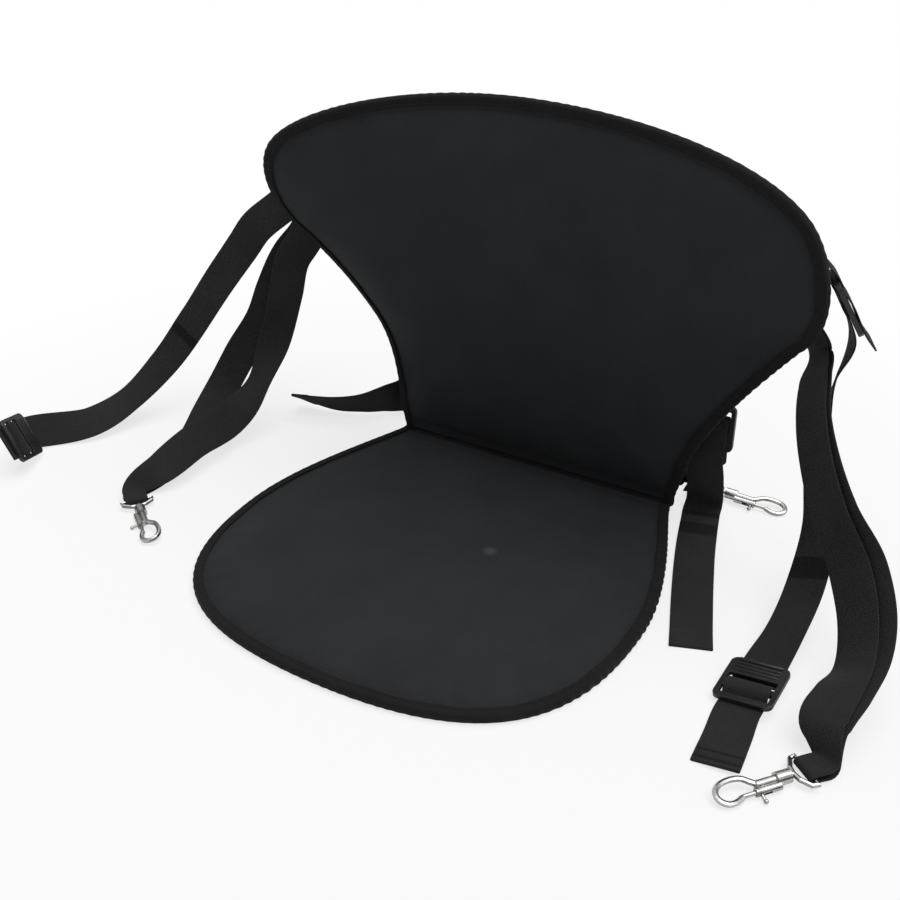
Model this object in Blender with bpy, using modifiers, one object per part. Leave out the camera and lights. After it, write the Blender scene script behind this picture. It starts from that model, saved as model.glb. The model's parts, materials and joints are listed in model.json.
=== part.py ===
"""Kayak seat: a padded seat panel and a winged backrest joined at a fold, with webbing straps,
ladder locks and four swivel snap hooks.

Metres, +Z up. The front of the seat points along -Y and the origin is the middle of its underside.
"""
import math

import bmesh
import bpy
import numpy as np
from mathutils import Matrix, Vector

# Space left between touching pieces
GAP = 0.0003

# Seat pad
SEAT_HALF = 0.213
SEAT_REAR_HALF = 0.160
SEAT_REAR_Y = 0.195
SEAT_WIDEST_Y = -0.005
SEAT_FRONT_Y = -0.196
SEAT_THICKNESS = 0.022

# Backrest, measured across and up the flat panel
FOLD_HALF = 0.162
WAIST_HALF = 0.169
WAIST_UP = 0.026
WING_FOOT_HALF = 0.2725
WING_FOOT_UP = 0.212
WING_TOP_HALF = 0.268
WING_TOP_UP = 0.329
BACK_HEIGHT = 0.393
BACK_THICKNESS = 0.020
FOLD_HEIGHT = 0.012
FOLD_SETBACK = 0.0062
LEAN = math.radians(6.1)
BEND_SPAN = 0.350
LEFT_BEND = (-2.84, 4.22)
RIGHT_BEND = (0.12, 0.44)
STRAIGHT_UP = 0.120

# Panel build-up
COVER = 0.0012
EDGE_FOAM = 0.0028
TAPE = 0.0011
TAPE_WIDTH = 0.0095
RIM = 0.0110
EDGE = 2 * COVER + EDGE_FOAM + 2 * GAP
SEAT_EDGE_LOW = TAPE + 3 * GAP
FOLD_TAPE_UP = 0.013

# Webbing
WEB_WIDTH = 0.038
WEB_THICKNESS = 0.0016
WEB_PITCH = WEB_THICKNESS + GAP
WEB_GATHERED = 0.023
WEB_NARROW = 0.030
WEB_STEP = 0.012
BAR_RUN_OUT = 0.012

# Ladder lock
LOCK_WIDTH = 0.050
LOCK_PLATE = 0.020
LOCK_SLOT = 0.0095
LOCK_BAR = 0.0060
LOCK_THICK = 0.0048
LOCK_SIDE = 0.0045
LOCK_LENGTH = LOCK_PLATE + 2 * LOCK_SLOT + 2 * LOCK_BAR
LOCK_CORNER = 0.006
LOCK_SOFTENED = 0.0006

# Snap hook, along its axis from the bar of its eye
EYE_WIRE = 0.0021
EYE_INNER = 0.027
EYE_REACH = 0.011
STEM_RADIUS = 0.0020
STEM_HEAD = 0.0034
STEM_HEAD_LONG = 0.0022
BARREL_RADIUS = 0.0055
BARREL_START = 0.0148
BARREL_LONG = 0.0120
BARREL_LIP = 0.0025
RUNNING = 0.0003
SHANK_RADIUS = 0.0036
BOLT_OFFSET = 0.0055
BOLT_RADIUS = 0.0018
HOUSING_RADIUS = 0.0034
HOUSING_END = 0.0470
BORE_START = 0.0284
BOLT_REAR = 0.0392
BOLT_TIP = 0.0577
BOLT_TRAVEL = 0.0070
LEVER_X = 0.0430
LEVER_RADIUS = 0.0013
LEVER_REACH = 0.0085
RING_WIRE = 0.0024
RING_ROUTE = ((42.0, -0.6), (46.5, -3.6), (51.5, -7.8), (57.5, -9.5), (64.0, -9.6), (70.5, -8.2),
              (75.3, -4.6), (76.8, 0.0), (75.3, 4.6), (70.8, 8.0), (65.0, 8.4), (60.5, 6.9), (58.0, 5.9))
SPRING_WIRE = 0.00025
SPRING_TURNS = 6

# Points on a panel: rings as shares of the way out to the rim, and steps along the fold
RING_SHARES = (1.0, 0.90, 0.70, 0.38)
FOLD_STEPS = 6
FLAT_SHARE = 0.7

# Snap hooks: the eye's place from the wing's strap point, the way the hook points, and its roll
FRONT_HOOKS = {
    "left": ((-0.033, -0.231), (0.82, -0.57, 0), True),
    "right": ((0.097, -0.246), (-0.64, -0.77, 0), False),
}
FRONT_ROLL = math.radians(14)
REAR_ROLL = math.radians(9)

# Where straps are sewn behind a wing: across and up the panel, and share of the rise over its binding
LOOP_ROOT = ((0.238, 0.284, 0.0), (0.248, 0.264, 0.3), (0.262, 0.236, 1.0))
LOOP_TURN = 0.5
LEFT_STAND = 0.007
TAB_STAND = 0.004
TAB_LEGS = (0.018, 0.020)
WING_LEGS = {"left": (0.054, 0.047), "right": (0.054, 0.036)}
REAR_LEGS = (0.044, 0.044)

# Straps that start behind a wing: millimetres across and forward from the wing's strap point,
# share of its height, direction of the webbing's width, share of the full width
WING_ACROSS = 0.285
WING_UP = 0.260
LEFT_BUCKLE = (
    (-46, 8, 0.830, (-0.70, -0.16, 0.69), 1.0),
    (-60, 3, 0.755, (-0.75, -0.18, 0.64), 1.0),
    (-84, -17, 0.606, (-0.83, 0.0, 0.56), 1.0),
    (-118, -33, 0.409, (-0.84, 0.0, 0.54), 1.0),
    (-149, -54, 0.230, (-0.87, 0.16, 0.47), 1.0),
    (-171, -99, 0.097, (-0.89, 0.33, 0.31), 1.0),
    (-183, -145, 0.062, (-0.80, 0.30, 0.50), 1.0),
)
LEFT_LOOP_FRONT = (
    (4, 33, 0.795, (-0.86, -0.40, 0.32), 1.0),
    (-8, 23, 0.710, (-0.82, -0.52, 0.22), 1.0),
    (-19, 19, 0.554, (-0.84, -0.50, 0.25), 1.0),
    (-36, 18, 0.368, (-0.89, -0.36, 0.27), 1.0),
    (-32, -24, 0.208, (-0.98, 0.06, -0.17), 1.0),
    (-32, -82, 0.115, (-0.72, 0.04, 0.69), 1.0),
    (-33, -142, 0.112, (-0.72, 0.04, 0.69), 1.0),
    (-36, -184, 0.082, (-0.85, 0.03, 0.52), 0.94),
)
LEFT_LOOP_REAR = (
    (-52, -188, 0.014, (-0.98, -0.16, 0.05), 0.94),
    (-66, -142, 0.012, (-0.95, -0.28, 0.0), 1.0),
    (-71, -102, 0.018, (-0.97, -0.20, 0.10), 1.0),
    (-82, -62, 0.062, (-0.93, -0.30, 0.22), 1.0),
    (-87, -27, 0.128, (-0.88, -0.40, 0.26), 1.0),
    (-79, -2, 0.245, (-0.86, -0.42, 0.28), 1.0),
    (-55, 16, 0.413, (-0.84, -0.48, 0.26), 1.0),
    (-38, 22, 0.569, (-0.82, -0.52, 0.22), 1.0),
    (-19, 31, 0.715, (-0.82, -0.52, 0.20), 1.0),
    (-2, 39, 0.800, (-0.86, -0.40, 0.32), 1.0),
)
RIGHT_LOOP_FRONT = (
    (-2, 29, 0.795, (-0.50, 0.75, -0.43), 1.0),
    (2.5, 7, 0.742, (-0.64, 0.52, -0.56), 1.0),
    (12, -24, 0.672, (-0.68, 0.44, -0.58), 1.0),
    (49, -77, 0.468, (-0.75, 0.28, -0.59), 1.0),
    (77, -91, 0.316, (-0.82, 0.07, -0.57), 1.0),
    (95, -116, 0.208, (-0.79, 0.11, -0.60), 1.0),
    (103, -150, 0.145, (-0.80, 0.10, -0.60), 1.0),
    (100, -185, 0.141, (-0.95, 0.10, -0.30), 1.0),
    (97, -215, 0.110, (-0.98, 0.12, -0.13), 0.94),
)
RIGHT_LOOP_SIDE = 0.013
RIGHT_LOOP_SHARES = (0, 0, 0, 0.55, 0.9, 1.0, 0.8, 0.45, 0.2)
RIGHT_LOOP_BEHIND = 0.005
RIGHT_BUCKLE = (
    (18, 28, 0.717, (-0.16, 0.92, -0.37), 1.0),
    (17, 25, 0.622, (-0.30, 0.85, -0.43), 1.0),
    (19, 17, 0.420, (-0.70, 0.45, -0.55), 1.0),
    (34, -13, 0.264, (-0.83, 0.27, -0.48), 1.0),
    (40, -61, 0.134, (-0.91, 0.16, -0.38), 1.0),
    (39, -118, 0.068, (-0.94, 0.10, -0.33), 1.0),
)

# Wing locks: side, sign of X, its strap, directions across and along the lock, its place from the
# wing's strap point, places where its tab is sewn, and the tab's turn
WING_LOCKS = (
    ("left", -1, LEFT_BUCKLE, (0.68, 0.14, -0.72), (-0.68, -0.12, -0.72), (0.003, 0.047, 0.008),
     ((0.188, 0.334, 0.0), (0.205, 0.322, 0.1), (0.225, 0.308, 1.0)), 0.96),
    ("right", 1, RIGHT_BUCKLE, (0.16, -0.92, 0.37), (0.50, 0.15, -0.85), (0.0145, 0.027, -0.004),
     ((0.212, 0.332, 0.0), (0.230, 0.318, 0.1), (0.247, 0.302, 1.0)), 0.885 + math.pi),
)
# Locks on the ends of those straps: place from the strap point but height from the floor, directions
# across and along, and the free end beyond
STRAP_LOCKS = {
    "left": ((-0.202, -0.228, 0.031), (0.62, -0.16, -0.77), (-0.43, 0.85, -0.30), ()),
    "right": ((0.033, -0.179, 0.0098), (0.985, -0.05, 0.15), (0.05, 0.99, 0.06),
              ((1, -60, 3.4, (-0.985, 0.0, -0.12)), (3, -95, 3.2, (-0.985, -0.08, -0.10)))),
}
# Rear locks: side, sign of X, place from the waist of the backrest, eye from the waist, the way the
# hook points, whether it is turned over, the strap's free end, its way down to the eye, the tab's turn
REAR_LOCK_UP = 0.095
SEWN_END = (-0.026, 0, -0.005)
REAR_LOCK_ACROSS = (1, 0, 0)
REAR_LOCK_ALONG = (0, 0.05, -1)
REAR_TAB = ((0.172, 0.200, 0.0), (0.172, 0.175, 0.1), (0.172, 0.155, 1.0))
REAR = (
    ("left", -1, (-0.004, 0.022, 0.0), (-0.006, 0.069, 0.0094), (1, 0.07, -0.08), True,
     ((-128, -56, 20, (0.44, -0.74, 0.51)), (-108, -51, 18, (0.40, -0.65, 0.65)),
      (-81, -44, 17, (0.30, -0.55, 0.78)), (-52, -29, 19, (0.20, -0.45, 0.87)),
      (-33, -8, 21, (0.10, -0.10, 0.98)), (-19, 10, 21, (0.0, 0.50, 0.85)),
      (-6, 12, 27, (0.0, 0.98, 0.20)), (-1, 7, 40, (-0.20, 0.97, 0.0)), (0, 1, 54, (-0.80, 0.60, 0.0))),
     ((-3, 16, 54, (-0.85, -0.5, 0.0)), (-17, 37, 36, (-0.45, -0.9, 0.0)), (-27, 47, 19, (-0.10, -1.0, 0.0))),
     0.0),
    ("right", 1, (0.021, 0.016, 0.0), (0.019, 0.059, 0.0094), (1, 0.07, -0.08), True,
     ((66, -200, 1.5, (-0.94, -0.32, 0.0)), (56, -172, 1.4, (-0.95, -0.31, 0.0)),
      (35, -111, 1.5, (-0.95, -0.31, 0.0)), (17, -54, 1.5, (-0.96, -0.27, 0.0)),
      (5, -10, 1.6, (-0.98, -0.18, 0.0)), (0, 10, 2.0, (-1.0, -0.05, 0.0)), (-1, 18, 5.5, (-1.0, 0.0, 0.0)),
      (-1, 18.5, 12, (-1.0, 0.0, 0.0)), (0, 12, 28, (-1.0, 0.0, 0.0)), (1, 3, 50, (-1.0, 0.0, 0.0))),
     ((-3, 12, 54, (-0.85, -0.5, 0.0)), (-17, 33, 36, (-0.45, -0.9, 0.0)), (-27, 43, 19, (-0.10, -1.0, 0.0))),
     math.pi),
)

MATERIALS = {
    "pad_fabric": ((0.030, 0.033, 0.037), 0.85, 0.0),
    "rear_fabric": ((0.014, 0.014, 0.015), 0.90, 0.0),
    "foam": ((0.060, 0.060, 0.062), 0.95, 0.0),
    "binding_tape": ((0.008, 0.008, 0.009), 0.75, 0.0),
    "webbing": ((0.026, 0.026, 0.027), 0.80, 0.0),
    "black_plastic": ((0.012, 0.012, 0.013), 0.40, 0.0),
    "plated_metal": ((0.75, 0.75, 0.74), 0.22, 1.0),
    "spring_steel": ((0.60, 0.60, 0.60), 0.35, 1.0),
}
UP = Vector((0, 0, 1))


def clear_scene():
    for obj in list(bpy.data.objects):
        bpy.data.objects.remove(obj, do_unlink=True)


def new_collection(name):
    made = bpy.data.collections.new(name)
    bpy.context.scene.collection.children.link(made)
    return made


def material(name):
    found = bpy.data.materials.get(name)
    if found:
        return found
    colour, roughness, metallic = MATERIALS[name]
    made = bpy.data.materials.new(name)
    made.use_nodes = True
    shader = made.node_tree.nodes["Principled BSDF"]
    shader.inputs["Base Color"].default_value = (*colour, 1.0)
    shader.inputs["Roughness"].default_value = roughness
    shader.inputs["Metallic"].default_value = metallic
    return made


def add_object(name, mesh, slot=None, place=None):
    """An object of the part, or a hidden helper when it has no material."""
    mesh.shade_smooth()
    mesh.set_sharp_from_angle(angle=math.radians(40))
    obj = bpy.data.objects.new(name, mesh)
    if place is not None:
        obj.matrix_world = place
    if slot:
        mesh.materials.append(material(slot))
        PART.objects.link(obj)
    else:
        obj.hide_render = True
        obj.display_type = "WIRE"
        HELPERS.objects.link(obj)
    return obj


def mesh_from(name, points, faces):
    mesh = bpy.data.meshes.new(name)
    mesh.from_pydata([tuple(p) for p in points], [], [tuple(int(i) for i in f) for f in faces])
    mesh.update()
    return mesh


def face_outwards(obj):
    shell = bmesh.new()
    shell.from_mesh(obj.data)
    bmesh.ops.recalc_face_normals(shell, faces=shell.faces)
    if shell.calc_volume(signed=True) < 0:
        bmesh.ops.reverse_faces(shell, faces=shell.faces)
    shell.to_mesh(obj.data)
    shell.free()


def combine(obj, helper, operation):
    modifier = obj.modifiers.new(helper.name, "BOOLEAN")
    modifier.operation = operation
    modifier.solver = "EXACT"
    modifier.object = helper


# Outlines of the two panels


def bezier(start, first, second, end, steps):
    """Points of a cubic, its start included and its end left out."""
    t = np.linspace(0, 1, steps, endpoint=False)[:, None]
    a, b, c, d = (np.array(p, float) for p in (start, first, second, end))
    return (1 - t) ** 3 * a + 3 * (1 - t) ** 2 * t * b + 3 * (1 - t) * t * t * c + t**3 * d


def whole_loop(half):
    """The loop from its right half, which starts at the fold and ends on the centre line."""
    return np.vstack([half, half[:-1][::-1] * (-1, 1)])


def seat_outline():
    return whole_loop(np.vstack([
        bezier((SEAT_REAR_HALF, SEAT_REAR_Y), (SEAT_REAR_HALF + 0.017, SEAT_REAR_Y - 0.050),
               (SEAT_HALF, SEAT_WIDEST_Y + 0.070), (SEAT_HALF, SEAT_WIDEST_Y), 9),
        bezier((SEAT_HALF, SEAT_WIDEST_Y), (SEAT_HALF, SEAT_WIDEST_Y * 0.33 + SEAT_FRONT_Y * 0.67),
               (SEAT_HALF * 0.77, SEAT_FRONT_Y), (0, SEAT_FRONT_Y), 13),
        [(0, SEAT_FRONT_Y)],
    ]))


def back_outline():
    return whole_loop(np.vstack([
        bezier((FOLD_HALF, 0), (FOLD_HALF + 0.001, 0.010), (WAIST_HALF - 0.003, WAIST_UP - 0.008),
               (WAIST_HALF, WAIST_UP), 2),
        bezier((WAIST_HALF, WAIST_UP), (WAIST_HALF + 0.007, WAIST_UP + 0.050),
               (WING_FOOT_HALF - 0.054, WING_FOOT_UP - 0.070), (WING_FOOT_HALF, WING_FOOT_UP), 8),
        bezier((WING_FOOT_HALF, WING_FOOT_UP), (WING_FOOT_HALF + 0.030, WING_FOOT_UP + 0.028),
               (WING_TOP_HALF + 0.023, WING_TOP_UP - 0.026), (WING_TOP_HALF, WING_TOP_UP), 6),
        bezier((WING_TOP_HALF, WING_TOP_UP), (WING_TOP_HALF - 0.039, WING_TOP_UP + 0.044),
               (WING_TOP_HALF * 0.415, BACK_HEIGHT), (0, BACK_HEIGHT), 9),
        [(0, BACK_HEIGHT)],
    ]))


# Surfaces that the panels are built on


def smooth_step(x):
    x = np.clip(x, 0, 1)
    return x * x * (3 - 2 * x)


def back_surface(u, v):
    """Middle of the backrest's thickness: a sheet leaning forward, bent about upright lines.

    The sheet's turn at u is bend * u, where bend changes evenly with height, and its place is the
    integral of its direction. It is straight at the fold and takes up its bend over STRAIGHT_UP.
    """
    u, v = np.asarray(u, float), np.asarray(v, float)
    rise = v / BEND_SPAN
    bend = np.where(u < 0, LEFT_BEND[0] + LEFT_BEND[1] * rise, RIGHT_BEND[0] + RIGHT_BEND[1] * rise)
    bend = np.where(np.abs(bend) < 1e-6, 1e-6, bend)
    across = np.sin(bend * u) / bend
    forward = smooth_step(v / STRAIGHT_UP) * (1 - np.cos(bend * u)) / bend
    y = SEAT_REAR_Y + FOLD_SETBACK - forward * math.cos(LEAN) - v * math.sin(LEAN)
    z = FOLD_HEIGHT + v * math.cos(LEAN) - forward * math.sin(LEAN)
    return np.stack([across + 0 * v, y, z], -1)


def on_back(u, v, out):
    """The point this far in front of the middle of the backrest's thickness."""
    u, v = np.asarray(u, float), np.asarray(v, float)
    step = 0.0005
    across = back_surface(u + step, v) - back_surface(u - step, v)
    upward = back_surface(u, v + step) - back_surface(u, v - step)
    normal = np.cross(across, upward)
    normal /= np.linalg.norm(normal, axis=-1, keepdims=True)
    return back_surface(u, v) + normal * np.asarray(out, float)[..., None]


def on_seat(u, v, out):
    return np.stack([u, v, np.asarray(out, float)], -1)


def dome(share):
    """Rise of a moulded panel from 0 at its pressed rim to 1 in the middle."""
    return (1 - share**4) ** 0.8


def settle(share):
    """1 where the seat's underside lies flat, falling to 0 at its rim."""
    return float(smooth_step((1 - share) / (1 - FLAT_SHARE)))


# Panels


def outward_normals(outline):
    along = np.roll(outline, -1, axis=0) - np.roll(outline, 1, axis=0)
    along[0] = outline[1] - outline[0]
    along[-1] = outline[-1] - outline[-2]
    along /= np.linalg.norm(along, axis=1, keepdims=True)
    outward = np.stack([along[:, 1], -along[:, 0]], 1)
    return outward if ((outline - outline.mean(0)) * outward).sum() > 0 else -outward


def panel_layer(name, edge, centre, place, low, high, slot):
    """A closed layer between two heights, each a function of the share of the way out to the rim."""
    share = np.linspace(0, 1, FOLD_STEPS, endpoint=False)[1:, None]
    outline = np.vstack([edge, edge[-1] + (edge[0] - edge[-1]) * share])
    count = len(outline)
    spokes = outline - centre
    outward = np.vstack([outward_normals(edge), np.repeat([[0.0, 1.0]], len(share), axis=0)])
    facing = np.abs((spokes * outward).sum(1, keepdims=True))
    inner = 1 - RIM / facing
    rings = [(np.ones_like(inner), 1.0)] + [(inner * share, share) for share in RING_SHARES]
    rows = []
    for height, order in ((low, rings[::-1]), (high, rings)):
        for scale, share in order:
            flat = centre + spokes * scale
            rows.append(place(flat[:, 0], flat[:, 1], np.full(count, height(share))))
    poles = [place(centre[:1], centre[1:], np.array([height(0.0)])) for height in (low, high)]
    points = np.vstack([poles[0], *rows, poles[1]])
    last = len(points) - 1
    faces = []
    for k in range(count):
        after = (k + 1) % count
        for row in range(len(rows) - 1):
            near, far = 1 + row * count, 1 + (row + 1) * count
            if row < len(rings):
                faces += [(near + k, near + after, far + after), (near + k, far + after, far + k)]
            else:
                faces += [(near + k, near + after, far + k), (near + after, far + after, far + k)]
        faces.append((0, 1 + after, 1 + k))
        faces.append((last, last - count + k, last - count + after))
    obj = add_object(name, mesh_from(name, points, faces), slot)
    face_outwards(obj)


def pad(names, outline, centre, place, low_edge, crown, sole):
    """The three layers of a panel: its rear or underside cover, its foam and its face."""
    slots = ("rear_fabric", "foam", "pad_fabric")
    starts = (low_edge, low_edge + COVER + GAP, low_edge + COVER + EDGE_FOAM + 2 * GAP)
    deep = (COVER, EDGE_FOAM, COVER)
    for k, name in enumerate(names):
        low_crown = crown if k == 2 else 0.0
        high_crown = crown if k >= 1 else 0.0

        def low(share, start=starts[k], rise=low_crown):
            return start - sole * settle(share) + rise * dome(share)

        def high(share, start=starts[k] + deep[k], rise=high_crown):
            return start - sole * settle(share) + rise * dome(share)

        panel_layer(name, outline, centre, place, low, high, slots[k])


def edge_binding(name, outline, place, low_edge):
    """Tape folded over the free edge: a U section carried round the outline, open at the fold."""
    outward = outward_normals(outline)
    inner_low, inner_high = low_edge - 2 * GAP, low_edge + EDGE + 2 * GAP
    low, high = inner_low - TAPE, inner_high + TAPE
    clear = 2 * GAP
    corner = 0.3 * (high - low)
    section = (
        (-TAPE_WIDTH, low), (clear, low), (clear + TAPE, low + corner), (clear + TAPE, high - corner),
        (clear, high), (-TAPE_WIDTH, high), (-TAPE_WIDTH, inner_high), (clear, inner_high),
        (clear, inner_low), (-TAPE_WIDTH, inner_low),
    )
    rows = []
    for across, height in section:
        flat = outline + outward * across
        rows.append(place(flat[:, 0], flat[:, 1], np.full(len(flat), height)))
    swept_section(name, np.stack(rows, 1), "binding_tape")


def swept_section(name, stations, slot):
    """A closed section carried along stations, with an end face at each end: (station, corner, xyz)."""
    count, size = stations.shape[:2]
    faces = []
    for k in range(count - 1):
        for j in range(size):
            a, b = k * size + j, k * size + (j + 1) % size
            faces.append((a, b, b + size, a + size))
    faces.append(tuple(range(size))[::-1])
    faces.append(tuple((count - 1) * size + j for j in range(size)))
    obj = add_object(name, mesh_from(name, stations.reshape(-1, 3), faces), slot)
    face_outwards(obj)


def fold_tape():
    """Cloth tape under the seat's rear edge and up behind the backrest's foot."""
    u = np.linspace(-SEAT_REAR_HALF + RIM, SEAT_REAR_HALF - RIM, 17)
    rear = SEAT_REAR_Y + GAP
    under = SEAT_EDGE_LOW - GAP
    behind = -(EDGE / 2 + 2 * GAP)
    flat = np.zeros_like(u)
    top_inner = on_back(u, flat + FOLD_TAPE_UP, flat + behind)
    top_outer = on_back(u, flat + FOLD_TAPE_UP, flat + behind - TAPE)
    foot_inner = on_back(u, flat, flat + behind)
    foot_outer = on_back(u, flat, flat + behind - TAPE)

    def line(y, z):
        return np.stack([u, flat + y, flat + z], -1)

    rows = [
        line(rear - 0.012, under), line(rear, under), line(rear, FOLD_HEIGHT * 0.6), foot_inner, top_inner,
        top_outer, foot_outer, line(rear + TAPE, FOLD_HEIGHT * 0.6), line(rear + TAPE, under - TAPE),
        line(rear - 0.012, under - TAPE),
    ]
    swept_section("fold_tape", np.stack(rows, 1), "binding_tape")


# Webbing


def station(point, width_way, width=WEB_WIDTH):
    return np.array([*point, *width_way, width], float)


def ribbon(name, stations):
    """Webbing along stations of point, width direction and width, as one strip made thick."""
    rows = np.array(stations)
    steps = np.linalg.norm(np.diff(rows[:, :3], axis=0), axis=1)
    slopes = np.diff(rows, axis=0) / steps[:, None]
    before, after = steps[:-1, None], steps[1:, None]
    middle = (slopes[:-1] * after + slopes[1:] * before) / (before + after)
    slopes = np.vstack([slopes[:1], middle, slopes[-1:]])
    fine = []
    for k, length in enumerate(steps):
        for t in np.linspace(0, 1, max(1, round(length / WEB_STEP)), endpoint=False):
            start, leave = rows[k], slopes[k] * length
            end, arrive = rows[k + 1], slopes[k + 1] * length
            fine.append((2 * t**3 - 3 * t**2 + 1) * start + (t**3 - 2 * t**2 + t) * leave
                        + (3 * t**2 - 2 * t**3) * end + (t**3 - t**2) * arrive)
    fine = np.array([*fine, rows[-1]])
    tangent = np.gradient(fine[:, :3], axis=0)
    tangent /= np.linalg.norm(tangent, axis=1, keepdims=True)
    across = fine[:, 3:6] - (fine[:, 3:6] * tangent).sum(1, keepdims=True) * tangent
    across *= fine[:, 6:7] / 2 / np.linalg.norm(across, axis=1, keepdims=True)
    rails = np.stack([fine[:, :3] - across, fine[:, :3] + across], 1).reshape(-1, 3)
    faces = [(2 * k, 2 * k + 1, 2 * k + 3, 2 * k + 2) for k in range(len(fine) - 1)]
    obj = add_object(name, mesh_from(name, rails, faces), "webbing")
    thick = obj.modifiers.new("thick", "SOLIDIFY")
    thick.thickness = WEB_THICKNESS
    thick.offset = 0.0
    thick.use_even_offset = True
    return obj


def frame(centre, across, along):
    """A matrix whose Y is along, whose X is the nearest to across, and whose Z follows."""
    y = Vector(along).normalized()
    x = Vector(across)
    x = (x - x.dot(y) * y).normalized()
    z = x.cross(y)
    return Matrix.Translation(Vector(centre)) @ Matrix((x, y, z)).transposed().to_4x4()


def local(place, x, y, z):
    return place @ Vector((x, y, z))


def way(place, axis):
    return place.to_3x3().col[axis].copy()


def route(anchor, table):
    """Stations from a table of places relative to a wing's strap point."""
    made = []
    for dx, dy, share, width_way, width in table:
        z = max(anchor[2] * share, WEB_THICKNESS)
        made.append(station((anchor[0] + dx / 1000, anchor[1] + dy / 1000, z), width_way, WEB_WIDTH * width))
    return made


def beside(stations, side, behind):
    """The same route moved along its width, by its own length at each station, and away from its face."""
    rows = np.array(stations)
    tangent = np.gradient(rows[:, :3], axis=0)
    face = np.cross(tangent, rows[:, 3:6])
    face /= np.linalg.norm(face, axis=1, keepdims=True)
    rows[:, :3] += rows[:, 3:6] * np.reshape(side, (-1, 1)) + face * behind
    return list(rows)


def root(side, points, turn, layer, width=WEB_WIDTH, stand=0.0):
    """Stations of webbing sewn to the rear cover: panel points, each with its share of the rise over
    the binding, in the layer counted from the cover."""
    made = []
    for u, v, share in points:
        layers = WEB_THICKNESS / 2 + (layer - 1) * WEB_PITCH
        out = -(EDGE / 2 + 2 * GAP + layers + share * (TAPE + GAP + stand))
        place = on_back(side * u, v, out)
        across = back_surface(side * (u + 0.001), v) - back_surface(side * (u - 0.001), v)
        upward = back_surface(side * u, v + 0.001) - back_surface(side * u, v - 0.001)
        across, upward = across / np.linalg.norm(across), upward / np.linalg.norm(upward)
        made.append(station(place, across * math.cos(turn) + upward * math.sin(turn), width))
    return made


def round_eye(hook):
    """Stations over the eye's bar, round it and back underneath, gathered to fit between its ends."""
    r = EYE_WIRE + GAP + WEB_THICKNESS / 2
    turns = [(-0.016, r * 1.15), (-0.006, r), (0.0, r)]
    turns += [(r * math.cos(a), r * math.sin(a)) for a in np.radians((60, 30, 0, -30, -60))]
    turns += [(0.0, -r), (-0.006, -r), (-0.016, -r * 1.15)]
    return [station(local(hook, x, 0, z), -way(hook, 1), WEB_GATHERED) for x, z in turns]


def lock_lines():
    """Edges of the bars along the lock: plate, first slot, middle bar, second slot, end bar."""
    plate = LOCK_LENGTH / 2 - LOCK_PLATE
    middle = plate - LOCK_SLOT
    second = middle - LOCK_BAR
    end = second - LOCK_SLOT
    return plate, middle, second, end


def through_lock(lock):
    """Stations under the plate, up over the middle bar and out under the end bar."""
    plate, middle, second, end = lock_lines()
    off = LOCK_THICK / 2 + GAP + WEB_THICKNESS / 2
    half = LOCK_SLOT / 2
    points = [(LOCK_LENGTH / 2 + 0.006, -off), (plate + 0.004, -off)]
    for centre, side in ((plate - half, -1), (second - half, 1)):
        points += [(centre + 0.68 * half, side * off), (centre + 0.22 * half, side * 0.38 * off),
                   (centre - 0.22 * half, -side * 0.38 * off), (centre - 0.68 * half, -side * off)]
    points += [(end - 0.002, -off), (-LOCK_LENGTH / 2 - 0.006, -off)]
    return [station(local(lock, 0, y, z), -way(lock, 0)) for y, z in points]


def round_bar(lock, edge, toward, legs, width=WEB_WIDTH, spread=1.5):
    """Stations round a bar's far edge with a leg on each side of the lock, from +Z round to -Z.

    toward is the sense along the lock in which the legs leave, and legs their lengths. spread is the
    distance of the legs' ends from the lock's middle, as a share of that over the bar.
    """
    off = LOCK_THICK / 2 + GAP + WEB_THICKNESS / 2
    turn = [(0.002, off), (-0.0008, 0.86 * off), (-0.0022, 0.45 * off), (-0.0026, 0.0),
            (-0.0022, -0.45 * off), (-0.0008, -0.86 * off), (0.002, -off)]
    points = [(legs[0], off * spread), (legs[0] - BAR_RUN_OUT, off)] + turn
    points += [(legs[1] - BAR_RUN_OUT, -off), (legs[1], -off * spread)]
    return [station(local(lock, 0, edge + toward * along, z), -way(lock, 0), width) for along, z in points]


# Hardware


def ladder_lock(name, place):
    """A rounded plate with two slots, leaving the middle bar and the end bar."""
    plate, middle, second, end = lock_lines()
    body = bmesh.new()
    bmesh.ops.create_cube(body, size=1.0)
    bmesh.ops.scale(body, vec=(LOCK_WIDTH, LOCK_LENGTH, LOCK_THICK), verts=body.verts)
    upright = [e for e in body.edges if abs(e.verts[0].co.z - e.verts[1].co.z) > LOCK_THICK / 2]
    bmesh.ops.bevel(body, geom=upright, offset=LOCK_CORNER, segments=4, affect="EDGES", profile=0.5)
    mesh = bpy.data.meshes.new(name)
    body.to_mesh(mesh)
    body.free()
    obj = add_object(name, mesh, "black_plastic", place)
    for k, high in enumerate((plate, second)):
        slot = bmesh.new()
        bmesh.ops.create_cube(slot, size=1.0)
        size = (LOCK_WIDTH - 2 * LOCK_SIDE, LOCK_SLOT, LOCK_THICK * 2)
        bmesh.ops.scale(slot, vec=size, verts=slot.verts)
        bmesh.ops.translate(slot, vec=(0, high - LOCK_SLOT / 2, 0), verts=slot.verts)
        slot_mesh = bpy.data.meshes.new(f"{name}_slot_{k}")
        slot.to_mesh(slot_mesh)
        slot.free()
        combine(obj, add_object(f"{name}_slot_{k}", slot_mesh, None, place), "DIFFERENCE")
    soften = obj.modifiers.new("soften", "BEVEL")
    soften.width = LOCK_SOFTENED
    soften.segments = 1
    soften.limit_method = "ANGLE"
    soften.angle_limit = math.radians(50)


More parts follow.
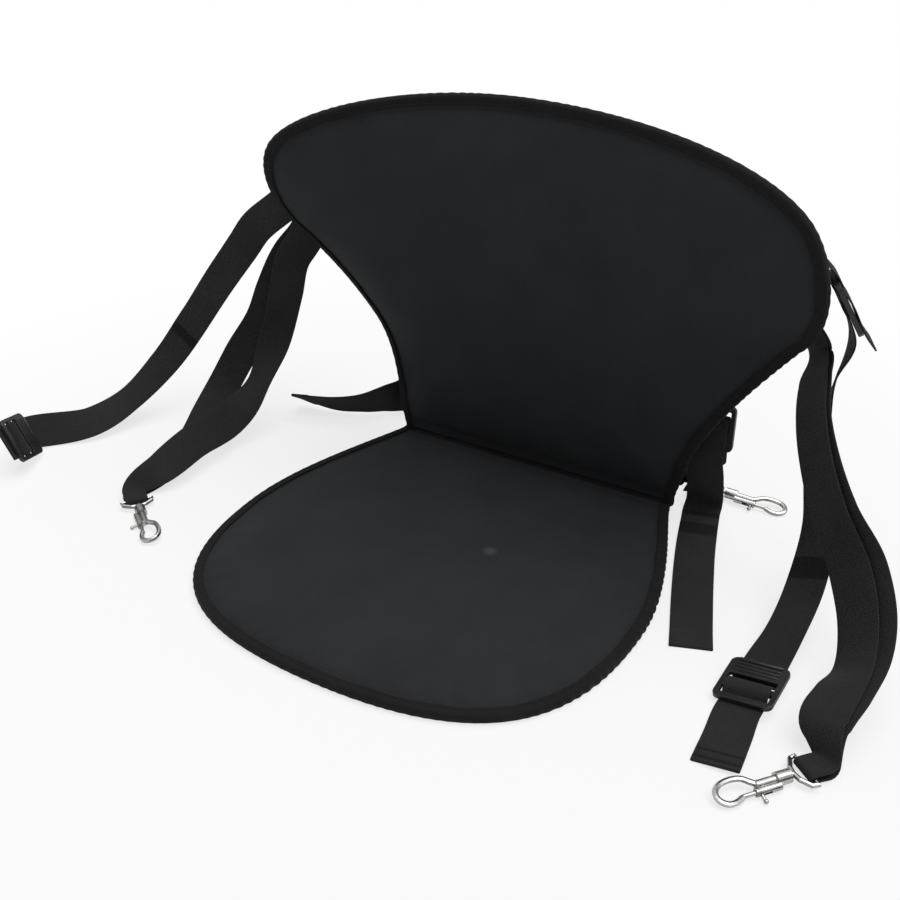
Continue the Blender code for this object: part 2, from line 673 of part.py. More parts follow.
def rod(name, start, end, radius, place, slot=None, sides=20, y=0.0, along="X"):
    """A cylinder on a line parallel to the local X, or on the local Y from the axis outwards."""
    tube = bmesh.new()
    bmesh.ops.create_cone(tube, cap_ends=True, segments=sides, radius1=radius, radius2=radius,
                          depth=end - start)
    turn = Matrix.Rotation(math.pi / 2, 4, "Y") if along == "X" else Matrix.Rotation(-math.pi / 2, 4, "X")
    middle = (start + end) / 2
    shift = Vector((middle, y, 0)) if along == "X" else Vector((y, middle, 0))
    bmesh.ops.transform(tube, matrix=Matrix.Translation(shift) @ turn, verts=tube.verts)
    mesh = bpy.data.meshes.new(name)
    tube.to_mesh(mesh)
    tube.free()
    return add_object(name, mesh, slot, place)


def wire(name, points, radius, place, slot=None, closed=False, sides=2, ends=None):
    """Round wire along points, made a mesh."""
    curve = bpy.data.curves.new(name + "_path", "CURVE")
    curve.dimensions = "3D"
    curve.bevel_depth = radius
    curve.bevel_resolution = sides
    curve.use_fill_caps = not closed
    line = curve.splines.new("POLY")
    line.points.add(len(points) - 1)
    for k, point in enumerate(points):
        line.points[k].co = (*point, 1.0)
    line.use_cyclic_u = closed
    path = bpy.data.objects.new(name + "_path", curve)
    HELPERS.objects.link(path)
    graph = bpy.context.evaluated_depsgraph_get()
    mesh = bpy.data.meshes.new_from_object(path.evaluated_get(graph))
    bpy.data.objects.remove(path, do_unlink=True)
    shell = bmesh.new()
    shell.from_mesh(mesh)
    bmesh.ops.remove_doubles(shell, verts=shell.verts, dist=1e-6)
    bmesh.ops.recalc_face_normals(shell, faces=shell.faces)
    shell.to_mesh(mesh)
    shell.free()
    mesh.name = name
    return add_object(name, mesh, slot, place)


def rounded(points, closed, steps=2):
    """Points with extra ones between, on a smooth curve through them all."""
    rows = np.array(points, float)
    count = len(rows)
    made = []
    for k in range(count if closed else count - 1):
        places = [(k + j) % count if closed else min(max(k + j, 0), count - 1) for j in (-1, 0, 1, 2)]
        before, start, end, after = rows[places]
        for t in np.linspace(0, 1, steps, endpoint=False):
            square = 2 * before - 5 * start + 4 * end - after
            cube = 3 * start - before - 3 * end + after
            made.append(0.5 * (2 * start + (end - before) * t + square * t**2 + cube * t**3))
    return made if closed else [*made, rows[-1]]


def swivel_eye(prefix, place):
    """The eye: a bar for the webbing, two arms to the stem, and the stem with its head in the barrel."""
    half = EYE_INNER / 2 + EYE_WIRE
    corners = [(0, -half, 0), (0, 0, 0), (0, half, 0), (EYE_REACH * 0.42, half * 0.93, 0),
               (EYE_REACH * 0.90, half * 0.42, 0), (EYE_REACH, 0, 0), (EYE_REACH * 0.90, -half * 0.42, 0),
               (EYE_REACH * 0.42, -half * 0.93, 0)]
    eye = wire(prefix + "_swivel_eye", corners, EYE_WIRE, place, "plated_metal", closed=True)
    head = BARREL_START + BARREL_LIP + RUNNING
    combine(eye, rod(prefix + "_stem", EYE_REACH, head + 0.0002, STEM_RADIUS, place), "UNION")
    combine(eye, rod(prefix + "_stem_head", head, head + STEM_HEAD_LONG, STEM_HEAD, place), "UNION")


def hook_body(prefix, place):
    """Barrel, shank, bolt housing and open ring as one casting, bored for the stem and the bolt."""
    barrel_end = BARREL_START + BARREL_LONG
    chamber = BARREL_START + BARREL_LIP
    body = rod(prefix + "_hook_body", BARREL_START, barrel_end, BARREL_RADIUS, place, "plated_metal")
    shank = rod(prefix + "_shank", barrel_end - 0.002, HOUSING_END - 0.003, SHANK_RADIUS, place)
    housing = rod(prefix + "_housing", barrel_end - 0.0012, HOUSING_END, HOUSING_RADIUS, place,
                  y=BOLT_OFFSET)
    points = rounded([(x / 1000, y / 1000, 0) for x, y in RING_ROUTE], False)
    ring = wire(prefix + "_ring", points, RING_WIRE, place)
    for part in (shank, housing, ring):
        combine(body, part, "UNION")
    stem_bore = rod(prefix + "_stem_bore", BARREL_START - 0.001, chamber + 0.0005, STEM_RADIUS + RUNNING,
                    place)
    head_bore = rod(prefix + "_head_bore", chamber, chamber + STEM_HEAD_LONG + 2 * RUNNING,
                    STEM_HEAD + RUNNING, place)
    bolt_bore = rod(prefix + "_bolt_bore", BORE_START, BOLT_TIP + 0.0001, BOLT_RADIUS + RUNNING, place,
                    y=BOLT_OFFSET)
    slot = bmesh.new()
    bmesh.ops.create_cube(slot, size=1.0)
    rear = LEVER_X - LEVER_RADIUS - RUNNING - BOLT_TRAVEL
    front = LEVER_X + LEVER_RADIUS + RUNNING
    deep = HOUSING_RADIUS + 0.001
    bmesh.ops.scale(slot, vec=(front - rear, deep, 2 * (LEVER_RADIUS + RUNNING)), verts=slot.verts)
    bmesh.ops.translate(slot, vec=((front + rear) / 2, BOLT_OFFSET + deep / 2, 0), verts=slot.verts)
    mesh = bpy.data.meshes.new(prefix + "_lever_slot")
    slot.to_mesh(mesh)
    slot.free()
    for part in (stem_bore, head_bore, bolt_bore, add_object(prefix + "_lever_slot", mesh, None, place)):
        combine(body, part, "DIFFERENCE")


def bolt(prefix, place):
    """Sliding pin with its thumb lever."""
    on_axis = place @ Matrix.Translation((0, BOLT_OFFSET, 0))
    pin = rod(prefix + "_bolt", BOLT_REAR, BOLT_TIP - RUNNING, BOLT_RADIUS, on_axis, "plated_metal", sides=16)
    lever = rod(prefix + "_lever", 0.0004, LEVER_REACH, LEVER_RADIUS, on_axis, sides=12, y=LEVER_X, along="Y")
    knob = bmesh.new()
    bmesh.ops.create_uvsphere(knob, u_segments=12, v_segments=8, radius=LEVER_RADIUS * 1.5)
    bmesh.ops.translate(knob, vec=(LEVER_X, LEVER_REACH, 0), verts=knob.verts)
    mesh = bpy.data.meshes.new(prefix + "_knob")
    knob.to_mesh(mesh)
    knob.free()
    combine(pin, lever, "UNION")
    combine(pin, add_object(prefix + "_knob", mesh, None, on_axis), "UNION")


def bolt_spring(prefix, place):
    on_axis = place @ Matrix.Translation((0, BOLT_OFFSET, 0))
    radius = BOLT_RADIUS + RUNNING - GAP - SPRING_WIRE
    start = BORE_START + RUNNING + SPRING_WIRE
    length = BOLT_REAR - RUNNING - SPRING_WIRE - start
    points = []
    for t in np.linspace(0, 1, SPRING_TURNS * 10 + 1):
        angle = 2 * math.pi * SPRING_TURNS * t
        points.append((start + length * t, radius * math.cos(angle), radius * math.sin(angle)))
    wire(prefix + "_bolt_spring", points, SPRING_WIRE, on_axis, "spring_steel", sides=0)


def hook_frame(eye, axis, flipped, roll=0.0):
    """Local X along the hook, Y across it with the lever on the +Y side, let down by the roll."""
    x = Vector(axis).normalized()
    y = UP.cross(x).normalized()
    if flipped:
        y = -y
    z = x.cross(y)
    turn = Matrix.Rotation(roll if flipped else -roll, 4, "X")
    return Matrix.Translation(Vector(eye)) @ Matrix((x, y, z)).transposed().to_4x4() @ turn


def snap_hook(prefix, eye, axis, flipped, roll):
    """All four pieces of a hook. Returns the frame for the webbing, which has its Z upward."""
    swivel_eye(prefix, hook_frame(eye, axis, flipped))
    place = hook_frame(eye, axis, flipped, roll)
    hook_body(prefix, place)
    bolt(prefix, place)
    bolt_spring(prefix, place)
    return hook_frame(eye, axis, False)


def build():
    seat = seat_outline()
    back = back_outline()
    pad(("seat_base", "seat_foam", "seat_face"), seat, np.array([0.0, SEAT_WIDEST_Y]), on_seat,
        SEAT_EDGE_LOW, SEAT_THICKNESS - EDGE, SEAT_EDGE_LOW)
    edge_binding("seat_binding", seat, on_seat, SEAT_EDGE_LOW)
    pad(("backrest_rear_cover", "backrest_foam", "backrest_face"), back,
        np.array([0.0, BACK_HEIGHT * 0.56]), on_back, -EDGE / 2, BACK_THICKNESS - EDGE, 0.0)
    edge_binding("backrest_binding", back, on_back, -EDGE / 2)
    fold_tape()
    wings = {side: back_surface(sign * WING_ACROSS, WING_UP) for side, sign in (("left", -1), ("right", 1))}
    front_straps(wings)
    buckle_straps(wings)
    rear_straps()


def front_hook(side, wing):
    (across, forward), axis, flipped = FRONT_HOOKS[side]
    eye = (wing[0] + across, wing[1] + forward, BARREL_RADIUS)
    return snap_hook(f"{side}_front", eye, axis, flipped, FRONT_ROLL)


def front_straps(wings):
    """The doubled strap of each wing and the snap hook on it."""
    wing = wings["left"]
    bar = round_eye(front_hook("left", wing))
    down = root(-1, LOOP_ROOT, LOOP_TURN, 1, stand=LEFT_STAND)
    back = root(-1, LOOP_ROOT[::-1], LOOP_TURN, 2, stand=LEFT_STAND)
    ribbon("left_loop_strap",
           [*down, *route(wing, LEFT_LOOP_FRONT), *bar, *route(wing, LEFT_LOOP_REAR), *back])
    wing = wings["right"]
    bar = round_eye(front_hook("right", wing))
    front = route(wing, RIGHT_LOOP_FRONT)
    side = -RIGHT_LOOP_SIDE * np.array(RIGHT_LOOP_SHARES)
    rear = beside(front, side, RIGHT_LOOP_BEHIND)[::-1]
    down = root(1, LOOP_ROOT, LOOP_TURN + math.pi, 1)
    back = root(1, LOOP_ROOT[::-1], LOOP_TURN + math.pi, 2)
    ribbon("right_loop_strap", [*down, *front, *bar, *rear, *back])


def tab_round(lock, edge):
    """The short narrow webbing round a lock's end bar."""
    return round_bar(lock, edge, -1, TAB_LEGS, WEB_NARROW, 0.3)[::-1]


def buckle_straps(wings):
    """The single strap of each wing: round the wing lock's bar, then down to a lock of its own."""
    _, _, second, end = lock_lines()
    for side, sign, table, across, along, shift, places, turn in WING_LOCKS:
        anchor = Vector(wings[side])
        lock = frame(anchor + Vector(shift), across, along)
        ladder_lock(f"{side}_wing_lock", lock)
        far, far_across, far_along, free = STRAP_LOCKS[side]
        far_lock = frame((anchor.x + far[0], anchor.y + far[1], far[2]), far_across, far_along)
        ladder_lock(f"{side}_strap_lock", far_lock)
        ribbon(f"{side}_buckle_strap", [*round_bar(lock, second, 1, WING_LEGS[side]), *route(anchor, table),
                                        *through_lock(far_lock), *tail(far_lock, free)])
        sewn = root(sign, places, turn, 1, WEB_NARROW, TAB_STAND)
        ribbon(f"{side}_wing_tab", [*sewn, *tab_round(lock, end)])


def tail(lock, table):
    """The free end beyond a lock: places relative to the lock."""
    made = []
    for dx, dy, z, width_way in table:
        place = (lock.translation.x + dx / 1000, lock.translation.y + dy / 1000, z / 1000)
        made.append(station(place, width_way))
    return made


def rear_straps():
    """Behind each side of the backrest: a tab, a lock, and a strap with a hook on it and a free tail."""
    _, _, second, end = lock_lines()
    for side, sign, shift, eye, axis, flipped, free, down, turn in REAR:
        anchor = Vector(back_surface(sign * WAIST_HALF, REAR_LOCK_UP))
        lock = frame(anchor + Vector(shift), REAR_LOCK_ACROSS, REAR_LOCK_ALONG)
        ladder_lock(f"{side}_rear_lock", lock)
        hook = snap_hook(f"{side}_rear", (anchor.x + eye[0], anchor.y + eye[1], eye[2]), axis, flipped,
                         REAR_ROLL)
        bar = round_bar(lock, second, 1, REAR_LEGS)[::-1]
        sewn_end = station(local(hook, *SEWN_END), -way(hook, 1), WEB_GATHERED * 1.2)
        ribbon(f"{side}_rear_strap", [*tail(lock, free), *bar, *tail(lock, down), *round_eye(hook), sewn_end])
        sewn = root(sign, REAR_TAB, turn, 1, WEB_NARROW)
        ribbon(f"{side}_rear_tab", [*sewn, *tab_round(lock, end)])


clear_scene()
PART = new_collection("kayak_seat")
HELPERS = new_collection("helpers")
build()
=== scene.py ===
"""The finished look of a kayak seat: two moulded pads with bound edges, webbing, ladder locks and hooks.

Metres, +Z up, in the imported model's frame: the seat's front is -Y, the origin is under the pad's middle.
"""

import json
import math

import bmesh
import bpy
import numpy as np
from mathutils import Matrix, Vector


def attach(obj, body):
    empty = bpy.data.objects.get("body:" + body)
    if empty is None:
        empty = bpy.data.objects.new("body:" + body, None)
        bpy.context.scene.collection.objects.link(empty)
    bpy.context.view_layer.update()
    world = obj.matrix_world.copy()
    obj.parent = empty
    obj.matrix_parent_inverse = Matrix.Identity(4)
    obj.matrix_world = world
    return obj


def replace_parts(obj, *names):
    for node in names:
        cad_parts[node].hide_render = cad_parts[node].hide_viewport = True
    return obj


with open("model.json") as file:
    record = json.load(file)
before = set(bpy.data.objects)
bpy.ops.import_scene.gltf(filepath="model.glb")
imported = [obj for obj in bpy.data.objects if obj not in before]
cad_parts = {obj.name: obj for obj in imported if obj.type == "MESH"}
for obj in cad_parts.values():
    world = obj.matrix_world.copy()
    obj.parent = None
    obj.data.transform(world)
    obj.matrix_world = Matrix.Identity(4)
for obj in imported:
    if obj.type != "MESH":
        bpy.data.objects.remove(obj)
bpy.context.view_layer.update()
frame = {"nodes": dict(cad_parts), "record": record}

# Camera: turn round the seat, rise above the floor, roll, distance and sideways moves, all fitted
CAMERA_TURN = math.radians(30.857)
CAMERA_RISE = math.radians(30.373)
CAMERA_ROLL = math.radians(-0.3305)
CAMERA_LENS = 36 * 1137.25 / 900
CAMERA_PLACE = (-0.10732, 0.00288, 1.26683)
CAMERA_ORIGIN = (0.0, 0.240, 0.0)

# Panels
GAP = 0.0003
SEAT_HALF = 0.213
SEAT_REAR_HALF = 0.160
SEAT_REAR_Y = 0.195
SEAT_WIDEST_Y = -0.005
SEAT_FRONT_Y = -0.196
SEAT_THICKNESS = 0.022
FOLD_HALF = 0.162
WAIST_HALF = 0.169
WAIST_UP = 0.026
WING_FOOT = (0.2725, 0.212)
WING_TOP = (0.268, 0.329)
BACK_HEIGHT = 0.393
BACK_THICKNESS = 0.020
FOLD_HEIGHT = 0.012
FOLD_SETBACK = 0.0062
LEAN = math.radians(6.1)
BEND_SPAN = 0.350
LEFT_BEND = (-2.84, 4.22)
RIGHT_BEND = (0.12, 0.44)
STRAIGHT_UP = 0.120
COVER = 0.0012
EDGE_FOAM = 0.0028
TAPE = 0.0011
TAPE_WIDTH = 0.0080
RIM = 0.0110
EDGE = 2 * COVER + EDGE_FOAM + 2 * GAP
SEAT_EDGE_LOW = TAPE + 3 * GAP
FLAT_SHARE = 0.7
FOLD_TAPE_UP = 0.013
FOLD_TAPE_UNDER = 0.012

# Pads: puckers beside the rim, slow hollows, and for each pad one soft crease, given as its start, the
# way to its end, and its depth
PAD_STATIONS = 420
SKIN_RINGS = 46
PUCKER_HEIGHT = 0.0011
PUCKER_PITCH = 0.0052
PUCKER_START = 0.006
PUCKER_FADE = 0.016
HOLLOW_DEPTH = 0.0007
HOLLOW_SIZE = 0.05
HOLLOW_START = 0.02
CREASE_REACH = 0.014
CREASE_START = 0.03
SEAT_CREASE = ((-0.11, 0.12), (0.05, 0.05), 0.0007)
BACK_CREASE = ((0.128, 0.235), (-0.006, -0.150), 0.0022)
COVER_WAVE = 0.00025

# Edge tape: its gathers, and for each panel the share of the way round where they are deepest, with how
# much deeper they are there
BIND_STEPS = 760
GATHER_PITCH = 0.00165
GATHER_LIFT = 0.00035
GATHER_SLIP = 0.0006
GATHER_NOSE = 0.0003
GATHER_REACH = 0.10
LOWER_LEAF = -0.08
SEAT_GATHERS = (0.17, 2.5)
BACK_GATHERS = (0.12, 1.2)
BACK_RUN_ON = 0.006
STITCH_LINE = 0.72
STITCH_RISE = 0.0004
STITCH_PITCH = 0.0040
STITCH_LONG = 0.0025
STITCH_THICK = 0.00042

# Small worn spot on the seat
SCUFF = (0.053, 0.014, 0.021)
SCUFF_REACH = 0.009
SCUFF_COLOUR = (0.16, 0.155, 0.145)

# Webbing
WEB_WIDTH = 0.038
WEB_THICKNESS = 0.0016
WEB_PITCH = WEB_THICKNESS + GAP
WEB_GATHERED = 0.023
WEB_NARROW = 0.030
WEB_STEP = 0.0022
HEM_LENGTH = 0.020
HEM_STEP = 0.0012
SELVEDGE_WAVE = 0.00025

# Painted shadows that fall across the straps, as darker crossings of the webbing: place counted in
# stations, and half their length
STRAP_PAINTED_SHADOWS = {"left": ((14.3, 0.006),), "right": ((14.72, 0.011), (29.62, 0.0014), (29.86, 0.0014))}
TAIL_PAINTED_SHADOWS = {"left": (), "right": ((3.65, 0.010), (4.6, 0.004))}
# Soft edge of the painted shadows, and the near-black colour that they darken the webbing towards
PAINTED_SHADOW_EDGE = 0.0015
PAINTED_SHADOW_COLOUR = (0.004, 0.004, 0.004)

# Ladder locks
LOCK_WIDTH = 0.050
LOCK_PLATE = 0.020
LOCK_SLOT = 0.0095
LOCK_BAR = 0.0060
LOCK_THICK = 0.0048
LOCK_LENGTH = LOCK_PLATE + 2 * LOCK_SLOT + 2 * LOCK_BAR
LOCK_CORNER = 0.006
BAR_RUN_OUT = 0.012
PLATE_RUN_OUT = 0.006
# Grip ribs on a plate: distance beyond the plate's inner edge, and radius
RIBS = ((0.0045, 0.0009), (0.0085, 0.0009), (0.0125, 0.0009), (0.0172, 0.0019))

# Snap hooks: the webbing's two places behind the eye's bar, the front eyes' places from the wings' strap
# points with the ways that the hooks point, and the way that both rear hooks point
EYE_WIRE = 0.0021
BARREL_RADIUS = 0.0055
EYE_LEGS = (-0.016, -0.006)
FRONT_HOOKS = {
    "left": ((-0.033, -0.231), (0.82, -0.57, 0)),
    "right": ((0.097, -0.246), (-0.64, -0.77, 0)),
}
REAR_HOOK_AXIS = (1, 0.07, -0.08)

# Where straps are sewn behind a wing: across and up the panel, and share of the rise over its binding
LOOP_ROOT = ((0.238, 0.284, 0.0), (0.248, 0.264, 0.3), (0.262, 0.236, 1.0))
LOOP_TURN = 0.5
LEFT_STAND = 0.007
TAB_STAND = 0.004
TAB_LEGS = (0.018, 0.020)
WING_LEGS = {"left": (0.054, 0.047), "right": (0.054, 0.036)}
REAR_LEGS = (0.044, 0.044)

# Straps that start behind a wing: millimetres across and forward from the wing's strap point,
# share of its height, direction of the webbing's width, share of the full width
WING_ACROSS = 0.285
WING_UP = 0.260
LEFT_BUCKLE = (
    (-46, 8, 0.830, (-0.70, -0.16, 0.69), 1.0),
    (-60, 3, 0.755, (-0.75, -0.18, 0.64), 1.0),
    (-84, -17, 0.606, (-0.83, 0.0, 0.56), 1.0),
    (-118, -33, 0.409, (-0.84, 0.0, 0.54), 1.0),
    (-149, -54, 0.230, (-0.87, 0.16, 0.47), 1.0),
    (-171, -99, 0.097, (-0.89, 0.33, 0.31), 1.0),
    (-183, -145, 0.062, (-0.80, 0.30, 0.50), 1.0),
)
LEFT_LOOP_FRONT = (
    (4, 33, 0.795, (-0.86, -0.40, 0.32), 1.0),
    (-8, 23, 0.710, (-0.82, -0.52, 0.22), 1.0),
    (-19, 19, 0.554, (-0.84, -0.50, 0.25), 1.0),
    (-36, 18, 0.368, (-0.89, -0.36, 0.27), 1.0),
    (-32, -24, 0.208, (-0.98, 0.06, -0.17), 1.0),
    (-32, -82, 0.115, (-0.72, 0.04, 0.69), 1.0),
    (-33, -142, 0.112, (-0.72, 0.04, 0.69), 1.0),
    (-36, -184, 0.082, (-0.85, 0.03, 0.52), 0.94),
)
LEFT_LOOP_REAR = (
    (-52, -188, 0.014, (-0.98, -0.16, 0.05), 0.94),
    (-66, -142, 0.012, (-0.95, -0.28, 0.0), 1.0),
    (-71, -102, 0.018, (-0.97, -0.20, 0.10), 1.0),
    (-82, -62, 0.062, (-0.93, -0.30, 0.22), 1.0),
    (-87, -27, 0.128, (-0.88, -0.40, 0.26), 1.0),
    (-79, -2, 0.245, (-0.86, -0.42, 0.28), 1.0),
    (-55, 16, 0.413, (-0.84, -0.48, 0.26), 1.0),
    (-38, 22, 0.569, (-0.82, -0.52, 0.22), 1.0),
    (-19, 31, 0.715, (-0.82, -0.52, 0.20), 1.0),
    (-2, 39, 0.800, (-0.86, -0.40, 0.32), 1.0),
)
RIGHT_LOOP_FRONT = (
    (-2, 29, 0.795, (-0.50, 0.75, -0.43), 1.0),
    (2.5, 7, 0.742, (-0.64, 0.52, -0.56), 1.0),
    (12, -24, 0.672, (-0.68, 0.44, -0.58), 1.0),
    (49, -77, 0.468, (-0.75, 0.28, -0.59), 1.0),
    (77, -91, 0.316, (-0.82, 0.07, -0.57), 1.0),
    (95, -116, 0.208, (-0.79, 0.11, -0.60), 1.0),
    (103, -150, 0.145, (-0.80, 0.10, -0.60), 1.0),
    (100, -185, 0.141, (-0.95, 0.10, -0.30), 1.0),
    (97, -215, 0.110, (-0.98, 0.12, -0.13), 0.94),
)
RIGHT_LOOP_SIDE = 0.013
RIGHT_LOOP_SHARES = (0, 0, 0, 0.55, 0.9, 1.0, 0.8, 0.45, 0.2)
RIGHT_LOOP_BEHIND = 0.005
RIGHT_BUCKLE = (
    (18, 28, 0.717, (-0.16, 0.92, -0.37), 1.0),
    (17, 25, 0.622, (-0.30, 0.85, -0.43), 1.0),
    (19, 17, 0.420, (-0.70, 0.45, -0.55), 1.0),
    (34, -13, 0.264, (-0.83, 0.27, -0.48), 1.0),
    (40, -61, 0.134, (-0.91, 0.16, -0.38), 1.0),
    (39, -118, 0.068, (-0.94, 0.10, -0.33), 1.0),
)

# Wing locks: side, sign of X, its strap, directions across and along the lock, its place from the
# wing's strap point, places where its tab is sewn, and the tab's turn
WING_LOCKS = (
    ("left", -1, LEFT_BUCKLE, (0.68, 0.14, -0.72), (-0.68, -0.12, -0.72), (0.003, 0.047, 0.008),
     ((0.188, 0.334, 0.0), (0.205, 0.322, 0.1), (0.225, 0.308, 1.0)), 0.96),
    ("right", 1, RIGHT_BUCKLE, (0.16, -0.92, 0.37), (0.50, 0.15, -0.85), (0.0145, 0.027, -0.004),
     ((0.212, 0.332, 0.0), (0.230, 0.318, 0.1), (0.247, 0.302, 1.0)), 0.885 + math.pi),
)
# Locks on the ends of those straps: place from the strap point but height from the floor, directions
# across and along, and the free end beyond
STRAP_LOCKS = {
    "left": ((-0.202, -0.228, 0.031), (0.62, -0.16, -0.77), (-0.43, 0.85, -0.30), ()),
    "right": ((0.033, -0.179, 0.0098), (0.985, -0.05, 0.15), (0.05, 0.99, 0.06),
              ((1, -60, 3.4, (-0.985, 0.0, -0.12)), (3, -95, 3.2, (-0.985, -0.08, -0.10)))),
}
# Rear locks: side, sign of X, place from the waist of the backrest, eye from the waist, the strap's
# free end, its way down to the eye, the tab's turn
REAR_LOCK_UP = 0.095
SEWN_END = (-0.026, 0, -0.005)
REAR_LOCK_ACROSS = (1, 0, 0)
REAR_LOCK_ALONG = (0, 0.05, -1)
REAR_TAB = ((0.172, 0.200, 0.0), (0.172, 0.175, 0.1), (0.172, 0.155, 1.0))
REAR = (
    ("left", -1, (-0.004, 0.022, 0.0), (-0.006, 0.069, 0.0094),
     ((-128, -56, 20, (0.44, -0.74, 0.51)), (-108, -51, 18, (0.40, -0.65, 0.65)),
      (-81, -44, 17, (0.30, -0.55, 0.78)), (-52, -29, 19, (0.20, -0.45, 0.87)),
      (-33, -8, 21, (0.10, -0.10, 0.98)), (-19, 10, 21, (0.0, 0.50, 0.85)),
      (-6, 12, 27, (0.0, 0.98, 0.20)), (-1, 7, 40, (-0.20, 0.97, 0.0)),
      (0, 1, 54, (-0.80, 0.60, 0.0))),
     ((-3, 16, 54, (-0.85, -0.5, 0.0)), (-17, 37, 36, (-0.45, -0.9, 0.0)),
      (-27, 47, 19, (-0.10, -1.0, 0.0))),
     0.0),
    ("right", 1, (0.021, 0.016, 0.0), (0.019, 0.059, 0.0094),
     ((66, -200, 1.5, (-0.94, -0.32, 0.0)), (56, -172, 1.4, (-0.95, -0.31, 0.0)),
      (35, -111, 1.5, (-0.95, -0.31, 0.0)), (17, -54, 1.5, (-0.96, -0.27, 0.0)),
      (5, -10, 1.6, (-0.98, -0.18, 0.0)), (0, 10, 2.0, (-1.0, -0.05, 0.0)),
      (-1, 18, 5.5, (-1.0, 0.0, 0.0)), (-1, 18.5, 12, (-1.0, 0.0, 0.0)),
      (0, 12, 28, (-1.0, 0.0, 0.0)), (1, 3, 50, (-1.0, 0.0, 0.0))),
     ((-3, 12, 54, (-0.85, -0.5, 0.0)), (-17, 33, 36, (-0.45, -0.9, 0.0)),
      (-27, 43, 19, (-0.10, -1.0, 0.0))),
     math.pi),
)

# Light: floor's distances and shares of light of its own, sky in polished surfaces, and suns, each with
# the place that it shines from, its angle across in degrees, and its strength
FLOOR_NEAR = 0.45
FLOOR_FAR = 0.85
FLOOR_SHARE = 0.72
FILL = 0.29
SKY_HEIGHTS = (0.10, 0.90)
SKY_LEVELS = (0.04, 0.85)
SUNS = (("key", (0.45, 0.22, 1.7), 60, 1.95), ("front", (0.9, -1.4, 1.5), 70, 0.10))


# Arrays


def unit(rows):
    """Each row scaled to length one."""
    return rows / np.linalg.norm(rows, axis=-1, keepdims=True)


def smooth_step(x):
    """0 below 0, 1 above 1, and between them three squares less two cubes."""
    x = np.clip(x, 0, 1)
    return x * x * (3 - 2 * x)


def ripple(seed, *fields):
    """A soft uneven field from -1 to 1: seven sines of the fields, with the seed's turns and phases."""
    dice = np.random.default_rng(seed)
    total = 0.0
    for _ in range(7):
        turns = dice.uniform(0.5, 1.9, len(fields)) * dice.choice((-1, 1), len(fields))
        total = total + np.sin(sum(f * t for f, t in zip(fields, turns)) + dice.uniform(0, 2 * math.pi))
    return total / 4


def bezier(start, first, second, end, steps):
    """Points of a cubic, its start included and its end left out."""
    t = np.linspace(0, 1, steps, endpoint=False)[:, None]
    a, b, c, d = (np.array(p, float) for p in (start, first, second, end))
    return (1 - t) ** 3 * a + 3 * (1 - t) ** 2 * t * b + 3 * (1 - t) * t * t * c + t**3 * d


def running_length(points):
    """The length of the line up to each of its points."""
    return np.concatenate([[0], np.cumsum(np.linalg.norm(np.diff(points, axis=0), axis=1))])


def evenly(points, count):
    """The same line with this many points evenly spaced along it."""
    along = running_length(points)
    wanted = np.linspace(0, along[-1], count)
    return np.stack([np.interp(wanted, along, points[:, k]) for k in range(points.shape[1])], 1)


def seat_outline(count):
    """Free edge of the seat from its right end at the fold, round the front, to its left end.

    Two cubics make the right half, and the left half mirrors them.
    """
    half = np.vstack([
        bezier((SEAT_REAR_HALF, SEAT_REAR_Y), (SEAT_REAR_HALF + 0.017, SEAT_REAR_Y - 0.050),
               (SEAT_HALF, SEAT_WIDEST_Y + 0.070), (SEAT_HALF, SEAT_WIDEST_Y), 60),
        bezier((SEAT_HALF, SEAT_WIDEST_Y), (SEAT_HALF, SEAT_WIDEST_Y * 0.33 + SEAT_FRONT_Y * 0.67),
               (SEAT_HALF * 0.77, SEAT_FRONT_Y), (0, SEAT_FRONT_Y), 90),
        [(0, SEAT_FRONT_Y)],
    ])
    return evenly(np.vstack([half, half[:-1][::-1] * (-1, 1)]), count)


def back_outline(count):
    """Free edge of the backrest, laid flat, from its right end at the fold to its left end.

    Four cubics make the right half: waist, flare, wing and top. The left half mirrors them.
    """
    half = np.vstack([
        bezier((FOLD_HALF, 0), (FOLD_HALF + 0.001, 0.010), (WAIST_HALF - 0.003, WAIST_UP - 0.008),
               (WAIST_HALF, WAIST_UP), 12),
        bezier((WAIST_HALF, WAIST_UP), (WAIST_HALF + 0.007, WAIST_UP + 0.050),
               (WING_FOOT[0] - 0.054, WING_FOOT[1] - 0.070), WING_FOOT, 60),
        bezier(WING_FOOT, (WING_FOOT[0] + 0.030, WING_FOOT[1] + 0.028),
               (WING_TOP[0] + 0.023, WING_TOP[1] - 0.026), WING_TOP, 40),
        bezier(WING_TOP, (WING_TOP[0] - 0.039, WING_TOP[1] + 0.044),
               (WING_TOP[0] * 0.415, BACK_HEIGHT), (0, BACK_HEIGHT), 90),
        [(0, BACK_HEIGHT)],
    ])
    return evenly(np.vstack([half, half[:-1][::-1] * (-1, 1)]), count)


def outward_normals(outline):
    """The outline's directions turned a quarter, to the side away from its middle."""
    along = np.gradient(outline, axis=0)
    outward = unit(np.stack([along[:, 1], -along[:, 0]], 1))
    return outward if ((outline - outline.mean(0)) * outward).sum() > 0 else -outward


